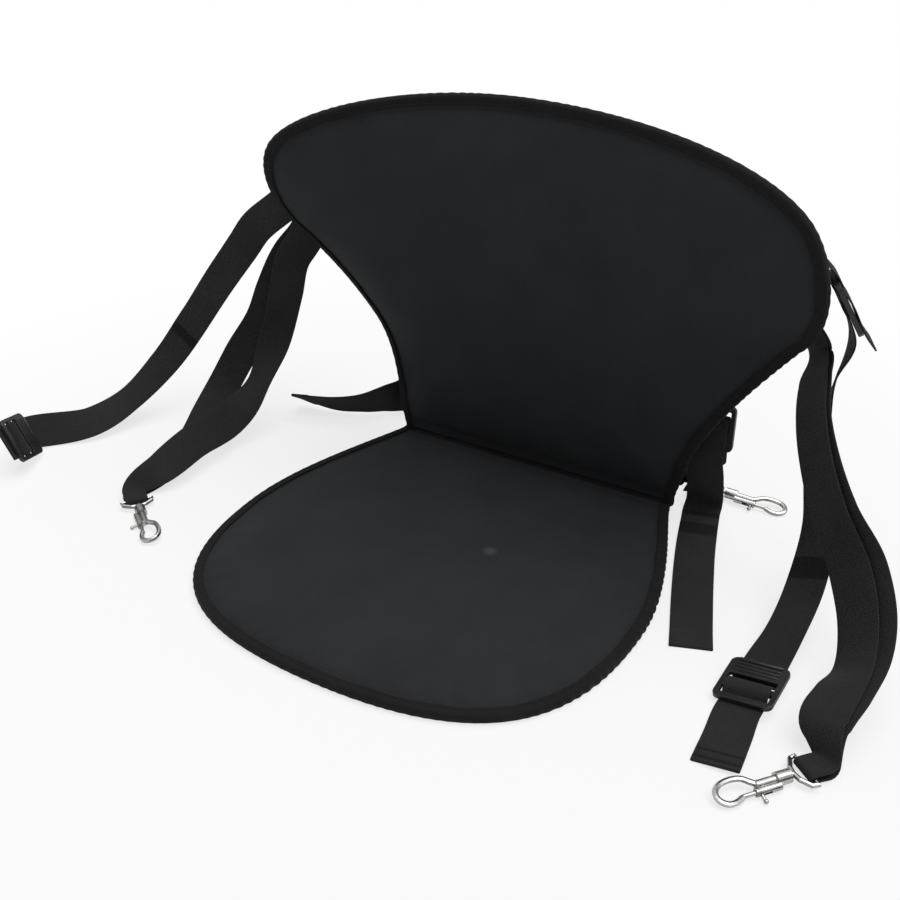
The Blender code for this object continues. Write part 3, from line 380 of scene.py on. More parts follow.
def back_surface(u, v):
    """Middle of the backrest: a sheet leaning forward and bent about upright lines.

    Its turn at u is bend * u, where bend changes evenly with height, and it takes the bend up from the
    straight fold over STRAIGHT_UP.
    """
    u, v = np.asarray(u, float), np.asarray(v, float)
    rise = v / BEND_SPAN
    bend = np.where(u < 0, LEFT_BEND[0] + LEFT_BEND[1] * rise, RIGHT_BEND[0] + RIGHT_BEND[1] * rise)
    bend = np.where(np.abs(bend) < 1e-6, 1e-6, bend)
    across = np.sin(bend * u) / bend
    forward = smooth_step(v / STRAIGHT_UP) * (1 - np.cos(bend * u)) / bend
    y = SEAT_REAR_Y + FOLD_SETBACK - forward * math.cos(LEAN) - v * math.sin(LEAN)
    z = FOLD_HEIGHT + v * math.cos(LEAN) - forward * math.sin(LEAN)
    return np.stack([across + 0 * v, y, z], -1)


def on_back(u, v, out):
    """The point this far in front of the middle of the backrest's thickness."""
    u, v = np.asarray(u, float), np.asarray(v, float)
    step = 0.0005
    across = back_surface(u + step, v) - back_surface(u - step, v)
    upward = back_surface(u, v + step) - back_surface(u, v - step)
    return back_surface(u, v) + unit(np.cross(across, upward)) * np.asarray(out, float)[..., None]


def on_seat(u, v, out):
    """The point this far above the floor."""
    u, v, out = np.broadcast_arrays(u, v, out)
    return np.stack([u, v, out], -1).astype(float)


def dome(share):
    """Rise of a moulded panel, from 0 at its rim to 1: one less the share's fourth power, to the 0.8."""
    return (1 - np.clip(share, 0, 1) ** 4) ** 0.8


# Meshes


def piece(name, points, faces, finish, uv=None):
    """An object from points, faces and, for each corner in turn, its place on the cloth in metres."""
    mesh = bpy.data.meshes.new(name)
    mesh.from_pydata(points.tolist(), [], faces)
    if uv is not None:
        corners = np.zeros((len(mesh.loops), 2))
        corners[: len(uv)] = uv
        mesh.uv_layers.new(name="cloth").data.foreach_set("uv", corners.ravel())
    mesh.materials.append(finish)
    mesh.shade_smooth()
    mesh.set_sharp_from_angle(angle=math.radians(50))
    mesh.update()
    obj = bpy.data.objects.new(name, mesh)
    bpy.context.scene.collection.objects.link(obj)
    outwards(obj)
    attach(obj, "seat")
    return obj


def outwards(obj):
    """Points the faces of a closed mesh outwards."""
    shell = bmesh.new()
    shell.from_mesh(obj.data)
    bmesh.ops.recalc_face_normals(shell, faces=shell.faces)
    if shell.calc_volume(signed=True) < 0:
        bmesh.ops.reverse_faces(shell, faces=shell.faces)
    shell.to_mesh(obj.data)
    shell.free()


def tube_faces(rows, columns):
    """Four-cornered faces of a grid closed across its columns, with a face over each end."""
    row, column = np.meshgrid(np.arange(rows - 1), np.arange(columns), indexing="ij")
    after = (column + 1) % columns
    near, far = row * columns, (row + 1) * columns
    quads = np.stack([near + column, near + after, far + after, far + column], -1).reshape(-1, 4)
    first = list(range(columns))[::-1]
    last = [(rows - 1) * columns + k for k in range(columns)]
    return [*quads.tolist(), first, last]


def tube_uv(along, around):
    """Cloth places for tube_faces, from the length at each row, and at each column and the seam."""
    row, column = np.meshgrid(np.arange(len(along) - 1), np.arange(len(around) - 1), indexing="ij")
    corners = [(around[column + j], along[row + i]) for i, j in ((0, 0), (0, 1), (1, 1), (1, 0))]
    return np.stack([np.stack(c, -1) for c in corners], 2).reshape(-1, 2)


def flat_uv(flats):
    """Cloth places of a polar grid: its own flat pattern."""
    rows, columns = flats.shape[:2]
    row, column = np.meshgrid(np.arange(rows - 1), np.arange(columns), indexing="ij")
    corners = [flats[row + i, (column + j) % columns] for i, j in ((0, 0), (0, 1), (1, 1), (1, 0))]
    return np.stack(corners, 2).reshape(-1, 2)


def carried(name, stations, finish, along, around):
    """A closed profile carried along a path: stations is (row, corner, xyz)."""
    rows, columns = stations.shape[:2]
    uv = tube_uv(along, around)
    return piece(name, stations.reshape(-1, 3), tube_faces(rows, columns), finish, uv)


# Pads


def panel_loop(edge, count):
    """The free edge and the straight run along the fold, as one loop."""
    run = np.linalg.norm(edge[0] - edge[-1])
    steps = max(2, round(run / running_length(edge)[-1] * count))
    share = np.linspace(0, 1, steps + 1)[1:-1, None]
    return np.vstack([edge, edge[-1] + (edge[0] - edge[-1]) * share]), len(share)


def polar(edge, centre, count):
    """A panel's loop, its spokes, the moulded part's share of each, and the length along the loop."""
    outline, extra = panel_loop(edge, count)
    spokes = outline - centre
    outward = np.vstack([outward_normals(edge), np.repeat([[0.0, 1.0]], extra, axis=0)])
    if edge[0, 1] < centre[1]:
        outward[len(edge):] *= -1
    facing = np.abs((spokes * outward).sum(1))
    return outline, spokes, 1 - RIM / facing, running_length(outline)


def moulded_pad(name, edge, centre, place, low, crown, seed, crease, sole=0.0):
    """A pad of foam and its face: flat at its rim, domed within it, with puckers that fade from the rim.

    The rise is crown * dome(share). The puckers are a sine of the way round, uneven in pitch, times a
    fall with the distance from the rim. Slow hollows lie over the whole pad, and the crease is a dent
    whose depth falls off as a bell curve of the distance from its line.
    """
    outline, spokes, inner, around = polar(edge, centre, PAD_STATIONS)
    top = low + EDGE_FOAM + COVER + GAP
    shares = 1 - np.linspace(0, 1, SKIN_RINGS) ** 1.6
    pucker = np.sin(around / PUCKER_PITCH + 2.2 * ripple(seed, around / 0.03))
    pucker = pucker * (0.6 + 0.4 * ripple(seed + 1, around / 0.05))
    (u, v), (du, dv), deep = crease
    flat, rise = [], []
    for scale in (1.0, 0.55, 0.0):
        ring = inner + (1 - inner) * scale
        flat.append(centre + spokes * ring[:, None])
        rise.append(np.zeros(len(outline)))
    for share in shares[1:-1]:
        ring = inner * share
        away = (1 - share) * inner * np.linalg.norm(spokes, axis=1)
        points = centre + spokes * ring[:, None]
        fade = smooth_step(away / PUCKER_START) * np.exp(-away / PUCKER_FADE)
        slow = ripple(seed + 2, points[:, 0] / HOLLOW_SIZE, points[:, 1] / HOLLOW_SIZE)
        t = np.clip(((points[:, 0] - u) * du + (points[:, 1] - v) * dv) / (du * du + dv * dv), 0, 1)
        apart = np.hypot(points[:, 0] - u - t * du, points[:, 1] - v - t * dv)
        dent = deep * np.exp(-((apart / CREASE_REACH) ** 2)) * smooth_step(away / CREASE_START)
        soft = (HOLLOW_DEPTH * slow - dent) * smooth_step(away / HOLLOW_START)
        rise.append(crown * dome(share) + PUCKER_HEIGHT * pucker * fade + soft)
        flat.append(points)
    count = len(outline)
    upper = [place(f[:, 0], f[:, 1], top + r) for f, r in zip(flat, rise)]
    under = []
    for f, share in zip(flat, np.concatenate([[1, 1, 1], shares[1:-1]])):
        drop = sole * smooth_step((1 - share) / (1 - FLAT_SHARE))
        under.append(place(f[:, 0], f[:, 1], np.full(count, low - drop)))
    rows = np.stack([*under[::-1], *upper])
    uv = flat_uv(np.stack([*flat[::-1], *flat]))
    obj = piece(name, rows.reshape(-1, 3), tube_faces(len(rows), count), PAD_CLOTH, uv)
    return obj


def cover(name, edge, centre, place, low, sole=0.0):
    """The thin cover under or behind a pad, which follows it and is flat where it rests.

    Its rings are the loop shrunk towards the centre, each lowered by a smooth step of its share.
    """
    outline, spokes, inner, _ = polar(edge, centre, PAD_STATIONS)
    shares = np.concatenate([1 - np.linspace(0, 1, 24)[:-1] ** 1.2, [0.004]])
    flats, under, upper = [], [], []
    for share in shares:
        f = centre + spokes * share
        away = np.clip((1 - share) / (1 - np.minimum(inner, 0.999)), 0, 1)
        drop = sole * smooth_step((1 - share) / (1 - FLAT_SHARE))
        wave = 0.0 if sole else COVER_WAVE * ripple(7, f[:, 0] / 0.03, f[:, 1] / 0.03) * away
        flats.append(f)
        under.append(place(f[:, 0], f[:, 1], low - drop + np.minimum(wave, 0)))
        upper.append(place(f[:, 0], f[:, 1], low - drop + COVER))
    rows = np.stack([*under[::-1], *upper])
    uv = flat_uv(np.stack([*flats[::-1], *flats]))
    faces = tube_faces(len(rows), len(outline))
    obj = piece(name, rows.reshape(-1, 3), faces, REAR_CLOTH, uv)
    return obj


# Bound edges


def tape_profile(inner_low, inner_high, wide, clear):
    """A folded tape's section, counted round: outer face over the nose, then the inner face back."""
    middle = (inner_low + inner_high) / 2
    half = (inner_high - inner_low) / 2
    turn = np.radians(np.linspace(-90, 90, 9))
    shares = (1.0, 0.75, 0.5, 0.25)
    reach = half * 0.4 + TAPE
    outer = [(-wide * share, inner_low - TAPE) for share in shares]
    nose = [(clear - half * 0.4 + reach * math.cos(a), middle + (half + TAPE) * math.sin(a)) for a in turn]
    back = [(-wide * share, inner_high + TAPE) for share in shares[::-1]]
    inside = [(-wide, inner_high), (-wide * 0.5, inner_high), (clear - half * 0.2, inner_high),
              (clear, middle),
              (clear - half * 0.2, inner_low), (-wide * 0.5, inner_low), (-wide, inner_low)]
    return np.array(outer + nose + back + inside)


def bound_edge(name, edge_maker, place, low, seed, gathers, run_on=0.0):
    """Tape folded over the free edge, its two leaves gathered in small ripples, with a line of stitches.

    The gathers are a sine of the way round, uneven in pitch, which lifts each leaf and moves its nose
    out, and they are deepest about one place as a bell curve.
    """
    outline = edge_maker(BIND_STEPS)
    if run_on:
        share = np.linspace(1, 0, 5)[:-1, None]
        ends = outline[0] - (0, run_on) * share, outline[-1] - (0, run_on) * share[::-1]
        outline = np.vstack([ends[0], outline, ends[1]])
    outward = outward_normals(outline)
    inner_low, inner_high = low - 2 * GAP, low + EDGE + 2 * GAP
    section = tape_profile(inner_low, inner_high, TAPE_WIDTH, 2 * GAP)
    along = running_length(outline)
    gather = np.sin(along / GATHER_PITCH + 1.6 * ripple(seed, along / 0.012))
    gather = gather * (0.55 + 0.45 * ripple(seed + 1, along / 0.03))
    deepest, extra = gathers
    deeper = 1 + extra * np.exp(-(((along / along[-1] - deepest) / GATHER_REACH) ** 2))
    rows = []
    for x, z in section:
        leaf = smooth_step(-x / TAPE_WIDTH)
        facing = 1 if z > (inner_low + inner_high) / 2 else LOWER_LEAF
        lift = GATHER_LIFT * leaf * (1 + gather) * deeper**0.5 * facing
        slip = GATHER_SLIP * leaf * ripple(seed + 2, along / 0.009)
        out = x - slip + GATHER_NOSE * gather * deeper * (1 - 0.7 * leaf)
        flat = outline + outward * out[:, None]
        rows.append(place(flat[:, 0], flat[:, 1], z + lift))
    around = running_length(np.vstack([section, section[:1]]))
    obj = carried(name, np.stack(rows, 1), TAPE_CLOTH, along, around)
    sewn = outline - outward * (TAPE_WIDTH * STITCH_LINE)
    height = np.full(len(sewn), inner_high + TAPE + STITCH_RISE)
    top = place(sewn[:, 0], sewn[:, 1], height)
    beyond = place(sewn[:, 0], sewn[:, 1], height + 0.001)
    thread = stitches(name + "_stitches", top, unit(beyond - top))
    return obj


def stitches(name, line, up):
    """Thread showing as short rounded bars sunk half into the cloth along a line.

    A bar is a hexagon carried along it over four places, and thin at both ends.
    """
    lengths = running_length(line)
    starts = np.arange(STITCH_PITCH / 2, lengths[-1] - STITCH_PITCH / 2, STITCH_PITCH)

    def at(rows, where):
        return np.stack([np.interp(where, lengths, rows[:, k]) for k in range(3)], 1)

    spot = at(line, starts)
    above = unit(at(up, starts))
    forward = unit(at(line, starts + 0.0005) - spot)
    side = np.cross(forward, above)
    places = np.array([-0.5, -0.36, 0.36, 0.5]) * STITCH_LONG
    widths = np.array([0.35, 1.0, 1.0, 0.35]) * STITCH_THICK
    turn = np.radians(np.arange(6) * 60)
    points = (spot[:, None, None] + places[None, :, None, None] * forward[:, None, None]
              + widths[None, :, None, None] * (np.cos(turn)[None, None, :, None] * side[:, None, None]
                                               + np.sin(turn)[None, None, :, None] * above[:, None, None]))
    one = tube_faces(len(places), len(turn))
    corners = len(places) * len(turn)
    faces = []
    for k in range(len(starts)):
        faces += [[v + corners * k for v in face] for face in one]
    return piece(name, points.reshape(-1, 3), faces, THREAD)


def fold_tape():
    """Cloth tape under the seat's rear edge and up behind the backrest's foot.

    A section of ten corners, worked out at each place along the fold.
    """
    u = np.linspace(-FOLD_HALF, FOLD_HALF, 60)
    rear, under = SEAT_REAR_Y + GAP, SEAT_EDGE_LOW - GAP
    behind = -(EDGE / 2 + 2 * GAP)

    def line(y, z):
        return on_seat(u, np.full_like(u, y), np.full_like(u, z))

    def at_back(v, out):
        return on_back(u, np.full_like(u, v), np.full_like(u, out))

    rows = [
        line(rear - FOLD_TAPE_UNDER, under), line(rear, under), line(rear, FOLD_HEIGHT * 0.6),
        at_back(0, behind), at_back(FOLD_TAPE_UP, behind),
        at_back(FOLD_TAPE_UP, behind - TAPE), at_back(0, behind - TAPE),
        line(rear + TAPE, FOLD_HEIGHT * 0.6), line(rear + TAPE, under - TAPE),
        line(rear - FOLD_TAPE_UNDER, under - TAPE),
    ]
    stations = np.stack(rows, 1)
    around = running_length(np.vstack([stations[0], stations[0][:1]]))
    obj = carried("fold_strip", stations, TAPE_CLOTH, u - u[0], around)
    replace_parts(obj, "fold_tape")


# Webbing


def station(point, width_way, width=WEB_WIDTH):
    """One row: webbing's place, the direction of its width, and its width."""
    return np.array([*point, *width_way, width], float)


def smoothed(stations):
    """The stations with more between them: a cubic through each pair, whose slopes are weighted means."""
    rows = np.array(stations)
    steps = np.linalg.norm(np.diff(rows[:, :3], axis=0), axis=1)
    slopes = np.diff(rows, axis=0) / steps[:, None]
    before, after = steps[:-1, None], steps[1:, None]
    middle = (slopes[:-1] * after + slopes[1:] * before) / (before + after)
    slopes = np.vstack([slopes[:1], middle, slopes[-1:]])
    fine = []
    for k, (length, count) in enumerate(zip(steps, step_counts(steps))):
        t = np.linspace(0, 1, count, endpoint=False)[:, None]
        fine.append((2 * t**3 - 3 * t**2 + 1) * rows[k] + (t**3 - 2 * t**2 + t) * slopes[k] * length
                    + (3 * t**2 - 2 * t**3) * rows[k + 1] + (t**3 - t**2) * slopes[k + 1] * length)
    return np.vstack([*fine, rows[-1:]])


def step_counts(lengths):
    """How many short steps each length between two stations is cut into."""
    return [max(2, round(length / WEB_STEP)) for length in lengths]


def web_section():
    """Half widths and half thicknesses round the webbing: flat faces, rounded selvedges."""
    flat = np.array([-0.93, -0.62, -0.31, 0.0, 0.31, 0.62, 0.93])
    side = [(0.975, 0.80), (0.997, 0.42), (1.0, 0.0), (0.997, -0.42), (0.975, -0.80)]
    upper = [(x, 1.0 - 0.04 * (abs(x) < 0.9)) for x in flat]
    lower = [(x, -y) for x, y in upper[::-1]]
    return np.array(upper + side + lower + [(-x, y) for x, y in side[::-1]])


def webbing(name, stations, replaced, hems=(), painted_shadows=()):
    """A strap: the section carried along the route, with hems turned under where its ends are sewn.

    The painted shadows across the strap are each a place counted in stations and half the shadow's length,
    and they are kept in a point attribute for its material.
    """
    fine = smoothed(stations)
    tangent = unit(np.gradient(fine[:, :3], axis=0))
    across = unit(fine[:, 3:6] - (fine[:, 3:6] * tangent).sum(1, keepdims=True) * tangent)
    face = np.cross(across, tangent)
    along = running_length(fine[:, :3])
    section = web_section()
    thick = np.full(len(fine), WEB_THICKNESS / 2)
    for end in hems:
        reach = along if end == "start" else along[-1] - along
        thick += WEB_THICKNESS / 2 * (1 - smooth_step((reach - HEM_LENGTH) / HEM_STEP))
    half = fine[:, 6] / 2 + SELVEDGE_WAVE * ripple(3, along / 0.02)
    a = half[:, None] * section[:, 0]
    b = thick[:, None] * section[:, 1]
    points = fine[:, None, :3] + a[..., None] * across[:, None] + b[..., None] * face[:, None]
    around = np.concatenate([section[:, 0], section[:1, 0]]) * WEB_WIDTH / 2
    obj = carried(name, points, WEBBING, along, around)
    lengths = np.linalg.norm(np.diff(np.array(stations)[:, :3], axis=0), axis=1)
    first = np.cumsum([0, *step_counts(lengths)])
    # Painted shadow: the share by which each row of the strap is darkened
    dark = np.zeros(len(fine))
    for place, reach in painted_shadows:
        middle = np.interp(place, np.arange(len(first)), along[first])
        dark += smooth_step((reach - np.abs(along - middle)) / PAINTED_SHADOW_EDGE + 0.5)
    painted_shadow = obj.data.attributes.new("painted_shadow", "FLOAT", "POINT")
    painted_shadow.data.foreach_set("value", np.repeat(dark, len(section)))
    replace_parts(obj, replaced)


def frame_of(centre, across, along):
    """A matrix whose Y is along, whose X is the nearest to across, and whose Z follows."""
    y = Vector(along).normalized()
    x = Vector(across)
    x = (x - x.dot(y) * y).normalized()
    z = x.cross(y)
    return Matrix.Translation(Vector(centre)) @ Matrix((x, y, z)).transposed().to_4x4()


def local(place, x, y, z):
    """The point at x, y, z in the place's own axes."""
    return place @ Vector((x, y, z))


def way(place, axis):
    """The direction of one of the place's axes."""
    return place.to_3x3().col[axis].copy()


def route(anchor, rows):
    """Stations from a list of places relative to a wing's strap point."""
    made = []
    for dx, dy, share, width_way, width in rows:
        height = max(anchor[2] * share, WEB_THICKNESS)
        place = (anchor[0] + dx / 1000, anchor[1] + dy / 1000, height)
        made.append(station(place, width_way, WEB_WIDTH * width))
    return made


def beside(stations, side, behind):
    """The same route moved along its width, by its own length at each station, and away from its face."""
    rows = np.array(stations)
    face = unit(np.cross(np.gradient(rows[:, :3], axis=0), rows[:, 3:6]))
    rows[:, :3] += rows[:, 3:6] * np.reshape(side, (-1, 1)) + face * behind
    return list(rows)


def root(side, points, turn, layer, width=WEB_WIDTH, stand=0.0):
    """Stations of webbing sewn to the rear cover, each with its share of the rise over the binding."""
    made = []
    behind = EDGE / 2 + 2 * GAP + WEB_THICKNESS / 2 + (layer - 1) * WEB_PITCH
    for u, v, share in points:
        spot = on_back(side * u, v, -(behind + share * (TAPE + GAP + stand)))
        across = unit(back_surface(side * (u + 0.001), v) - back_surface(side * (u - 0.001), v))
        upward = unit(back_surface(side * u, v + 0.001) - back_surface(side * u, v - 0.001))
        made.append(station(spot, across * math.cos(turn) + upward * math.sin(turn), width))
    return made


def round_eye(hook):
    """Stations over the eye's bar, round it and back underneath."""
    r = EYE_WIRE + GAP + WEB_THICKNESS / 2
    far, near = EYE_LEGS
    turns = [(far, r * 1.15), (near, r), (0.0, r)]
    turns += [(r * math.cos(a), r * math.sin(a)) for a in np.radians((60, 30, 0, -30, -60))]
    turns += [(0.0, -r), (near, -r), (far, -r * 1.15)]
    return [station(local(hook, x, 0, z), -way(hook, 1), WEB_GATHERED) for x, z in turns]


def lock_lines():
    """Edges of the bars along the lock: plate, first slot, middle bar, second slot, end bar."""
    plate = LOCK_LENGTH / 2 - LOCK_PLATE
    middle = plate - LOCK_SLOT
    second = middle - LOCK_BAR
    return plate, middle, second, second - LOCK_SLOT


def through_lock(lock):
    """Stations under the plate, up over the middle bar and out under the end bar."""
    plate, middle, second, end = lock_lines()
    off = LOCK_THICK / 2 + GAP + WEB_THICKNESS / 2
    half = LOCK_SLOT / 2
    points = [(LOCK_LENGTH / 2 + PLATE_RUN_OUT, -off), (plate + 0.004, -off)]
    for centre, side in ((plate - half, -1), (second - half, 1)):
        points += [(centre + 0.68 * half, side * off), (centre + 0.22 * half, side * 0.38 * off),
                   (centre - 0.22 * half, -side * 0.38 * off), (centre - 0.68 * half, -side * off)]
    points += [(end - 0.002, -off), (-LOCK_LENGTH / 2 - PLATE_RUN_OUT, -off)]
    return [station(local(lock, 0, y, z), -way(lock, 0)) for y, z in points]


def round_bar(lock, edge, toward, legs, width=WEB_WIDTH, spread=1.5):
    """Stations round a bar's far edge, with a leg on each side of the lock, from +Z round to -Z."""
    off = LOCK_THICK / 2 + GAP + WEB_THICKNESS / 2
    turn = [(0.002, off), (-0.0008, 0.86 * off), (-0.0022, 0.45 * off), (-0.0026, 0.0),
            (-0.0022, -0.45 * off), (-0.0008, -0.86 * off), (0.002, -off)]
    points = [(legs[0], off * spread), (legs[0] - BAR_RUN_OUT, off)] + turn
    points += [(legs[1] - BAR_RUN_OUT, -off), (legs[1], -off * spread)]
    return [station(local(lock, 0, edge + toward * along, z), -way(lock, 0), width) for along, z in points]


def tab_round(lock, edge):
    """The tab's webbing round the lock's end bar, drawn close."""
    return round_bar(lock, edge, -1, TAB_LEGS, WEB_NARROW, 0.3)[::-1]


def grip_ribs(name, lock):
    """Ribs across a lock's plate for the thumb, the outermost a thick lip, each sunk half into it.

    A rib is a circle carried across the plate, whose radius swells from each end.
    """
    plate = lock_lines()[0]
    lengths = np.array([-1.0, -0.985, -0.95, 0.95, 0.985, 1.0]) * (LOCK_WIDTH / 2 - LOCK_CORNER)
    swell = np.array([0.35, 0.8, 1.0, 1.0, 0.8, 0.35])[:, None]
    turn = np.radians(np.arange(12) * 30)
    x = np.broadcast_to(lengths[:, None], (len(lengths), len(turn)))
    points, faces = [], []
    for k, (beyond, radius) in enumerate(RIBS):
        y = plate + beyond + radius * swell * np.cos(turn)
        z = LOCK_THICK / 2 + radius * swell * np.sin(turn)
        faces += [[v + x.size * k for v in face] for face in tube_faces(*x.shape)]
        points.append(np.stack([x, y, z], -1).reshape(-1, 3))
    turned, shift = np.array(lock.to_3x3()), np.array(lock.translation)
    return piece(name, np.vstack(points) @ turned.T + shift, faces, PLASTIC)


def tail(lock, rows):
    """Stations near a lock: millimetres across and back from it, and up from the floor."""
    at = lock.translation
    return [station((at.x + dx / 1000, at.y + dy / 1000, z / 1000), width_way)
            for dx, dy, z, width_way in rows]


def hook_frame(eye, axis):
    """Local X along the hook, and Y level across it."""
    x = Vector(axis).normalized()
    y = Vector((0, 0, 1)).cross(x).normalized()
    return Matrix.Translation(Vector(eye)) @ Matrix((x, y, x.cross(y))).transposed().to_4x4()


def front_straps(wings):
    """The doubled strap of each wing, round the eye of its snap hook."""
    for side, sign in (("left", -1), ("right", 1)):
        wing = wings[side]
        (across, forward), axis = FRONT_HOOKS[side]
        hook = hook_frame((wing[0] + across, wing[1] + forward, BARREL_RADIUS), axis)
        if side == "left":
            turn, stand = LOOP_TURN, LEFT_STAND
            front, rear = route(wing, LEFT_LOOP_FRONT), route(wing, LEFT_LOOP_REAR)
        else:
            turn, stand = LOOP_TURN + math.pi, 0.0
            front = route(wing, RIGHT_LOOP_FRONT)
            rear = beside(front, -RIGHT_LOOP_SIDE * np.array(RIGHT_LOOP_SHARES), RIGHT_LOOP_BEHIND)[::-1]
        down = root(sign, LOOP_ROOT, turn, 1, stand=stand)
        back = root(sign, LOOP_ROOT[::-1], turn, 2, stand=stand)
        strap = [*down, *front, *round_eye(hook), *rear, *back]
        webbing(f"{side}_wing_loop", strap, f"{side}_loop_strap")


def buckle_straps(wings):
    """The single strap of each wing, from the wing lock's bar down to a lock of its own."""
    _, _, second, end = lock_lines()
    for side, sign, rows, across, along, shift, places, turn in WING_LOCKS:
        anchor = Vector(wings[side])
        lock = frame_of(anchor + Vector(shift), across, along)
        far, far_across, far_along, free = STRAP_LOCKS[side]
        far_lock = frame_of((anchor.x + far[0], anchor.y + far[1], far[2]), far_across, far_along)
        strap = [*round_bar(lock, second, 1, WING_LEGS[side]), *route(anchor, rows)]
        strap += [*through_lock(far_lock), *tail(far_lock, free)]
        # The strap carries painted shadows where other webbing and hardware shade it
        webbing(f"{side}_wing_strap", strap, f"{side}_buckle_strap",
                hems=("end",) if free else (), painted_shadows=STRAP_PAINTED_SHADOWS[side])
        grip_ribs(f"{side}_lock_ribs", far_lock)
        tab = [*root(sign, places, turn, 1, WEB_NARROW, TAB_STAND), *tab_round(lock, end)]
        webbing(f"{side}_wing_tab_web", tab, f"{side}_wing_tab")


def rear_straps():
    """Behind each side of the backrest: a tab, and a strap with a free end and a hook."""
    _, _, second, end = lock_lines()
    for side, sign, shift, eye, free, down, turn in REAR:
        anchor = Vector(back_surface(sign * WAIST_HALF, REAR_LOCK_UP))
        lock = frame_of(anchor + Vector(shift), REAR_LOCK_ACROSS, REAR_LOCK_ALONG)
        hook = hook_frame((anchor.x + eye[0], anchor.y + eye[1], eye[2]), REAR_HOOK_AXIS)
        bar = round_bar(lock, second, 1, REAR_LEGS)[::-1]
        sewn_end = station(local(hook, *SEWN_END), -way(hook, 1), WEB_GATHERED * 1.2)
        strap = [*tail(lock, free), *bar, *tail(lock, down), *round_eye(hook), sewn_end]
        # The strap carries painted shadows where hardware shades it
        webbing(f"{side}_hook_strap", strap, f"{side}_rear_strap",
                hems=("start",), painted_shadows=TAIL_PAINTED_SHADOWS[side])
        tab = [*root(sign, REAR_TAB, turn, 1, WEB_NARROW), *tab_round(lock, end)]
        webbing(f"{side}_rear_tab_web", tab, f"{side}_rear_tab")


# Finishes


def put(tree, kind, sockets=(), **settings):
    """A shader node, with each socket set to a value or linked from another's output."""
    made = tree.nodes.new(kind)
    for key, value in settings.items():
        setattr(made, key, value)
    for socket, value in dict(sockets).items():
        if isinstance(value, bpy.types.NodeSocket):
            tree.links.new(value, made.inputs[socket])
        else:
            made.inputs[socket].default_value = value
    return made


def maths(tree, operation, *values):
    """The output of one Math node."""
    return put(tree, "ShaderNodeMath", dict(enumerate(values)), operation=operation).outputs[0]


def blend_colours(tree, share, first, second):
    """The first colour going over to the second by the share."""
    made = put(tree, "ShaderNodeMix", {0: share}, data_type="RGBA")
    for slot_name, value in ((6, first), (7, second)):
        if isinstance(value, bpy.types.NodeSocket):
            tree.links.new(value, made.inputs[slot_name])
        else:
            made.inputs[slot_name].default_value = (*value, 1)
    return made.outputs[2]


def noise(tree, where, size, detail):
    """Noise whose patches are about this size."""
    made = put(tree, "ShaderNodeTexNoise", {"Vector": where, "Scale": 1 / size, "Detail": detail})
    return made.outputs[0]


def ranged(tree, value, from_range, to_range):
    """The value taken evenly from one range to another, and held at the ends."""
    sockets = dict(enumerate((value, *from_range, *to_range)))
    return put(tree, "ShaderNodeMapRange", sockets, clamp=True).outputs[0]


def blank(name, **sockets):
    """A new material, with its shader's sockets named by keyword."""
    made = bpy.data.materials.new(name)
    made.use_nodes = True
    tree = made.node_tree
    shader = tree.nodes["Principled BSDF"]
    for key, value in sockets.items():
        shader.inputs[key.replace("_", " ")].default_value = value
    return made, tree, shader


def wire_up(tree, shader, tone, rough, bump):
    """Links a material's colour, roughness and relief to its shader."""
    tree.links.new(tone, shader.inputs["Base Color"])
    tree.links.new(rough, shader.inputs["Roughness"])
    tree.links.new(bump.outputs[0], shader.inputs["Normal"])


def cloth(name, colour, across, along, relief, brick=False, scuff=None):
    """Woven cloth on its own flat pattern: yarns at the two pitches, with slow changes of shade.

    The height is the product of a sine across and a sine along, where brick shifts every other row.
    """
    made, tree, shader = blank(name, Sheen_Weight=0.04, Sheen_Roughness=0.5, Specular_IOR_Level=0.12)
    places = put(tree, "ShaderNodeTexCoord")
    parts = put(tree, "ShaderNodeSeparateXYZ", {0: places.outputs["UV"]})
    u, v = parts.outputs[0], parts.outputs[1]
    column = maths(tree, "FLOOR", maths(tree, "DIVIDE", u, across))
    shift = maths(tree, "MULTIPLY", column, math.pi if brick else 0.0)
    ribs = maths(tree, "SINE", maths(tree, "ADD", maths(tree, "MULTIPLY", v, 2 * math.pi / along), shift))
    yarns = maths(tree, "ABSOLUTE", maths(tree, "SINE", maths(tree, "MULTIPLY", u, math.pi / across)))
    weave = maths(tree, "MULTIPLY", maths(tree, "ADD", maths(tree, "MULTIPLY", ribs, 0.5), 0.5), yarns)
    fuzz = noise(tree, places.outputs["Object"], 0.0011, 4)
    slow = noise(tree, places.outputs["Object"], 0.045, 3)
    height = maths(tree, "ADD", weave, maths(tree, "MULTIPLY", fuzz, 0.5))
    bump = put(tree, "ShaderNodeBump", {"Strength": relief, "Distance": 0.0004, "Height": height})
    shade = maths(tree, "MULTIPLY", maths(tree, "ADD", maths(tree, "MULTIPLY", weave, 0.35), slow), 0.75)
    dark = tuple(c * 0.72 for c in colour)
    light = tuple(c * 1.35 for c in colour)
    tone = blend_colours(tree, shade, dark, light)
    # Painted shadows on the straps: the attribute darkens the cloth towards the shadow colour
    painted_shadow = put(tree, "ShaderNodeAttribute", attribute_name="painted_shadow").outputs["Fac"]
    tone = blend_colours(tree, maths(tree, "MULTIPLY", painted_shadow, 0.75), tone, PAINTED_SHADOW_COLOUR)
    if scuff:
        ends = {0: places.outputs["Object"], 1: scuff}
        apart = put(tree, "ShaderNodeVectorMath", ends, operation="DISTANCE").outputs["Value"]
        worn = ranged(tree, apart, (0.0, SCUFF_REACH), (0.9, 0.0))
        tone = blend_colours(tree, maths(tree, "MULTIPLY", worn, fuzz), tone, SCUFF_COLOUR)
    rough = maths(tree, "ADD", maths(tree, "MULTIPLY", fuzz, 0.2), 0.75)
    wire_up(tree, shader, tone, rough, bump)
    return made


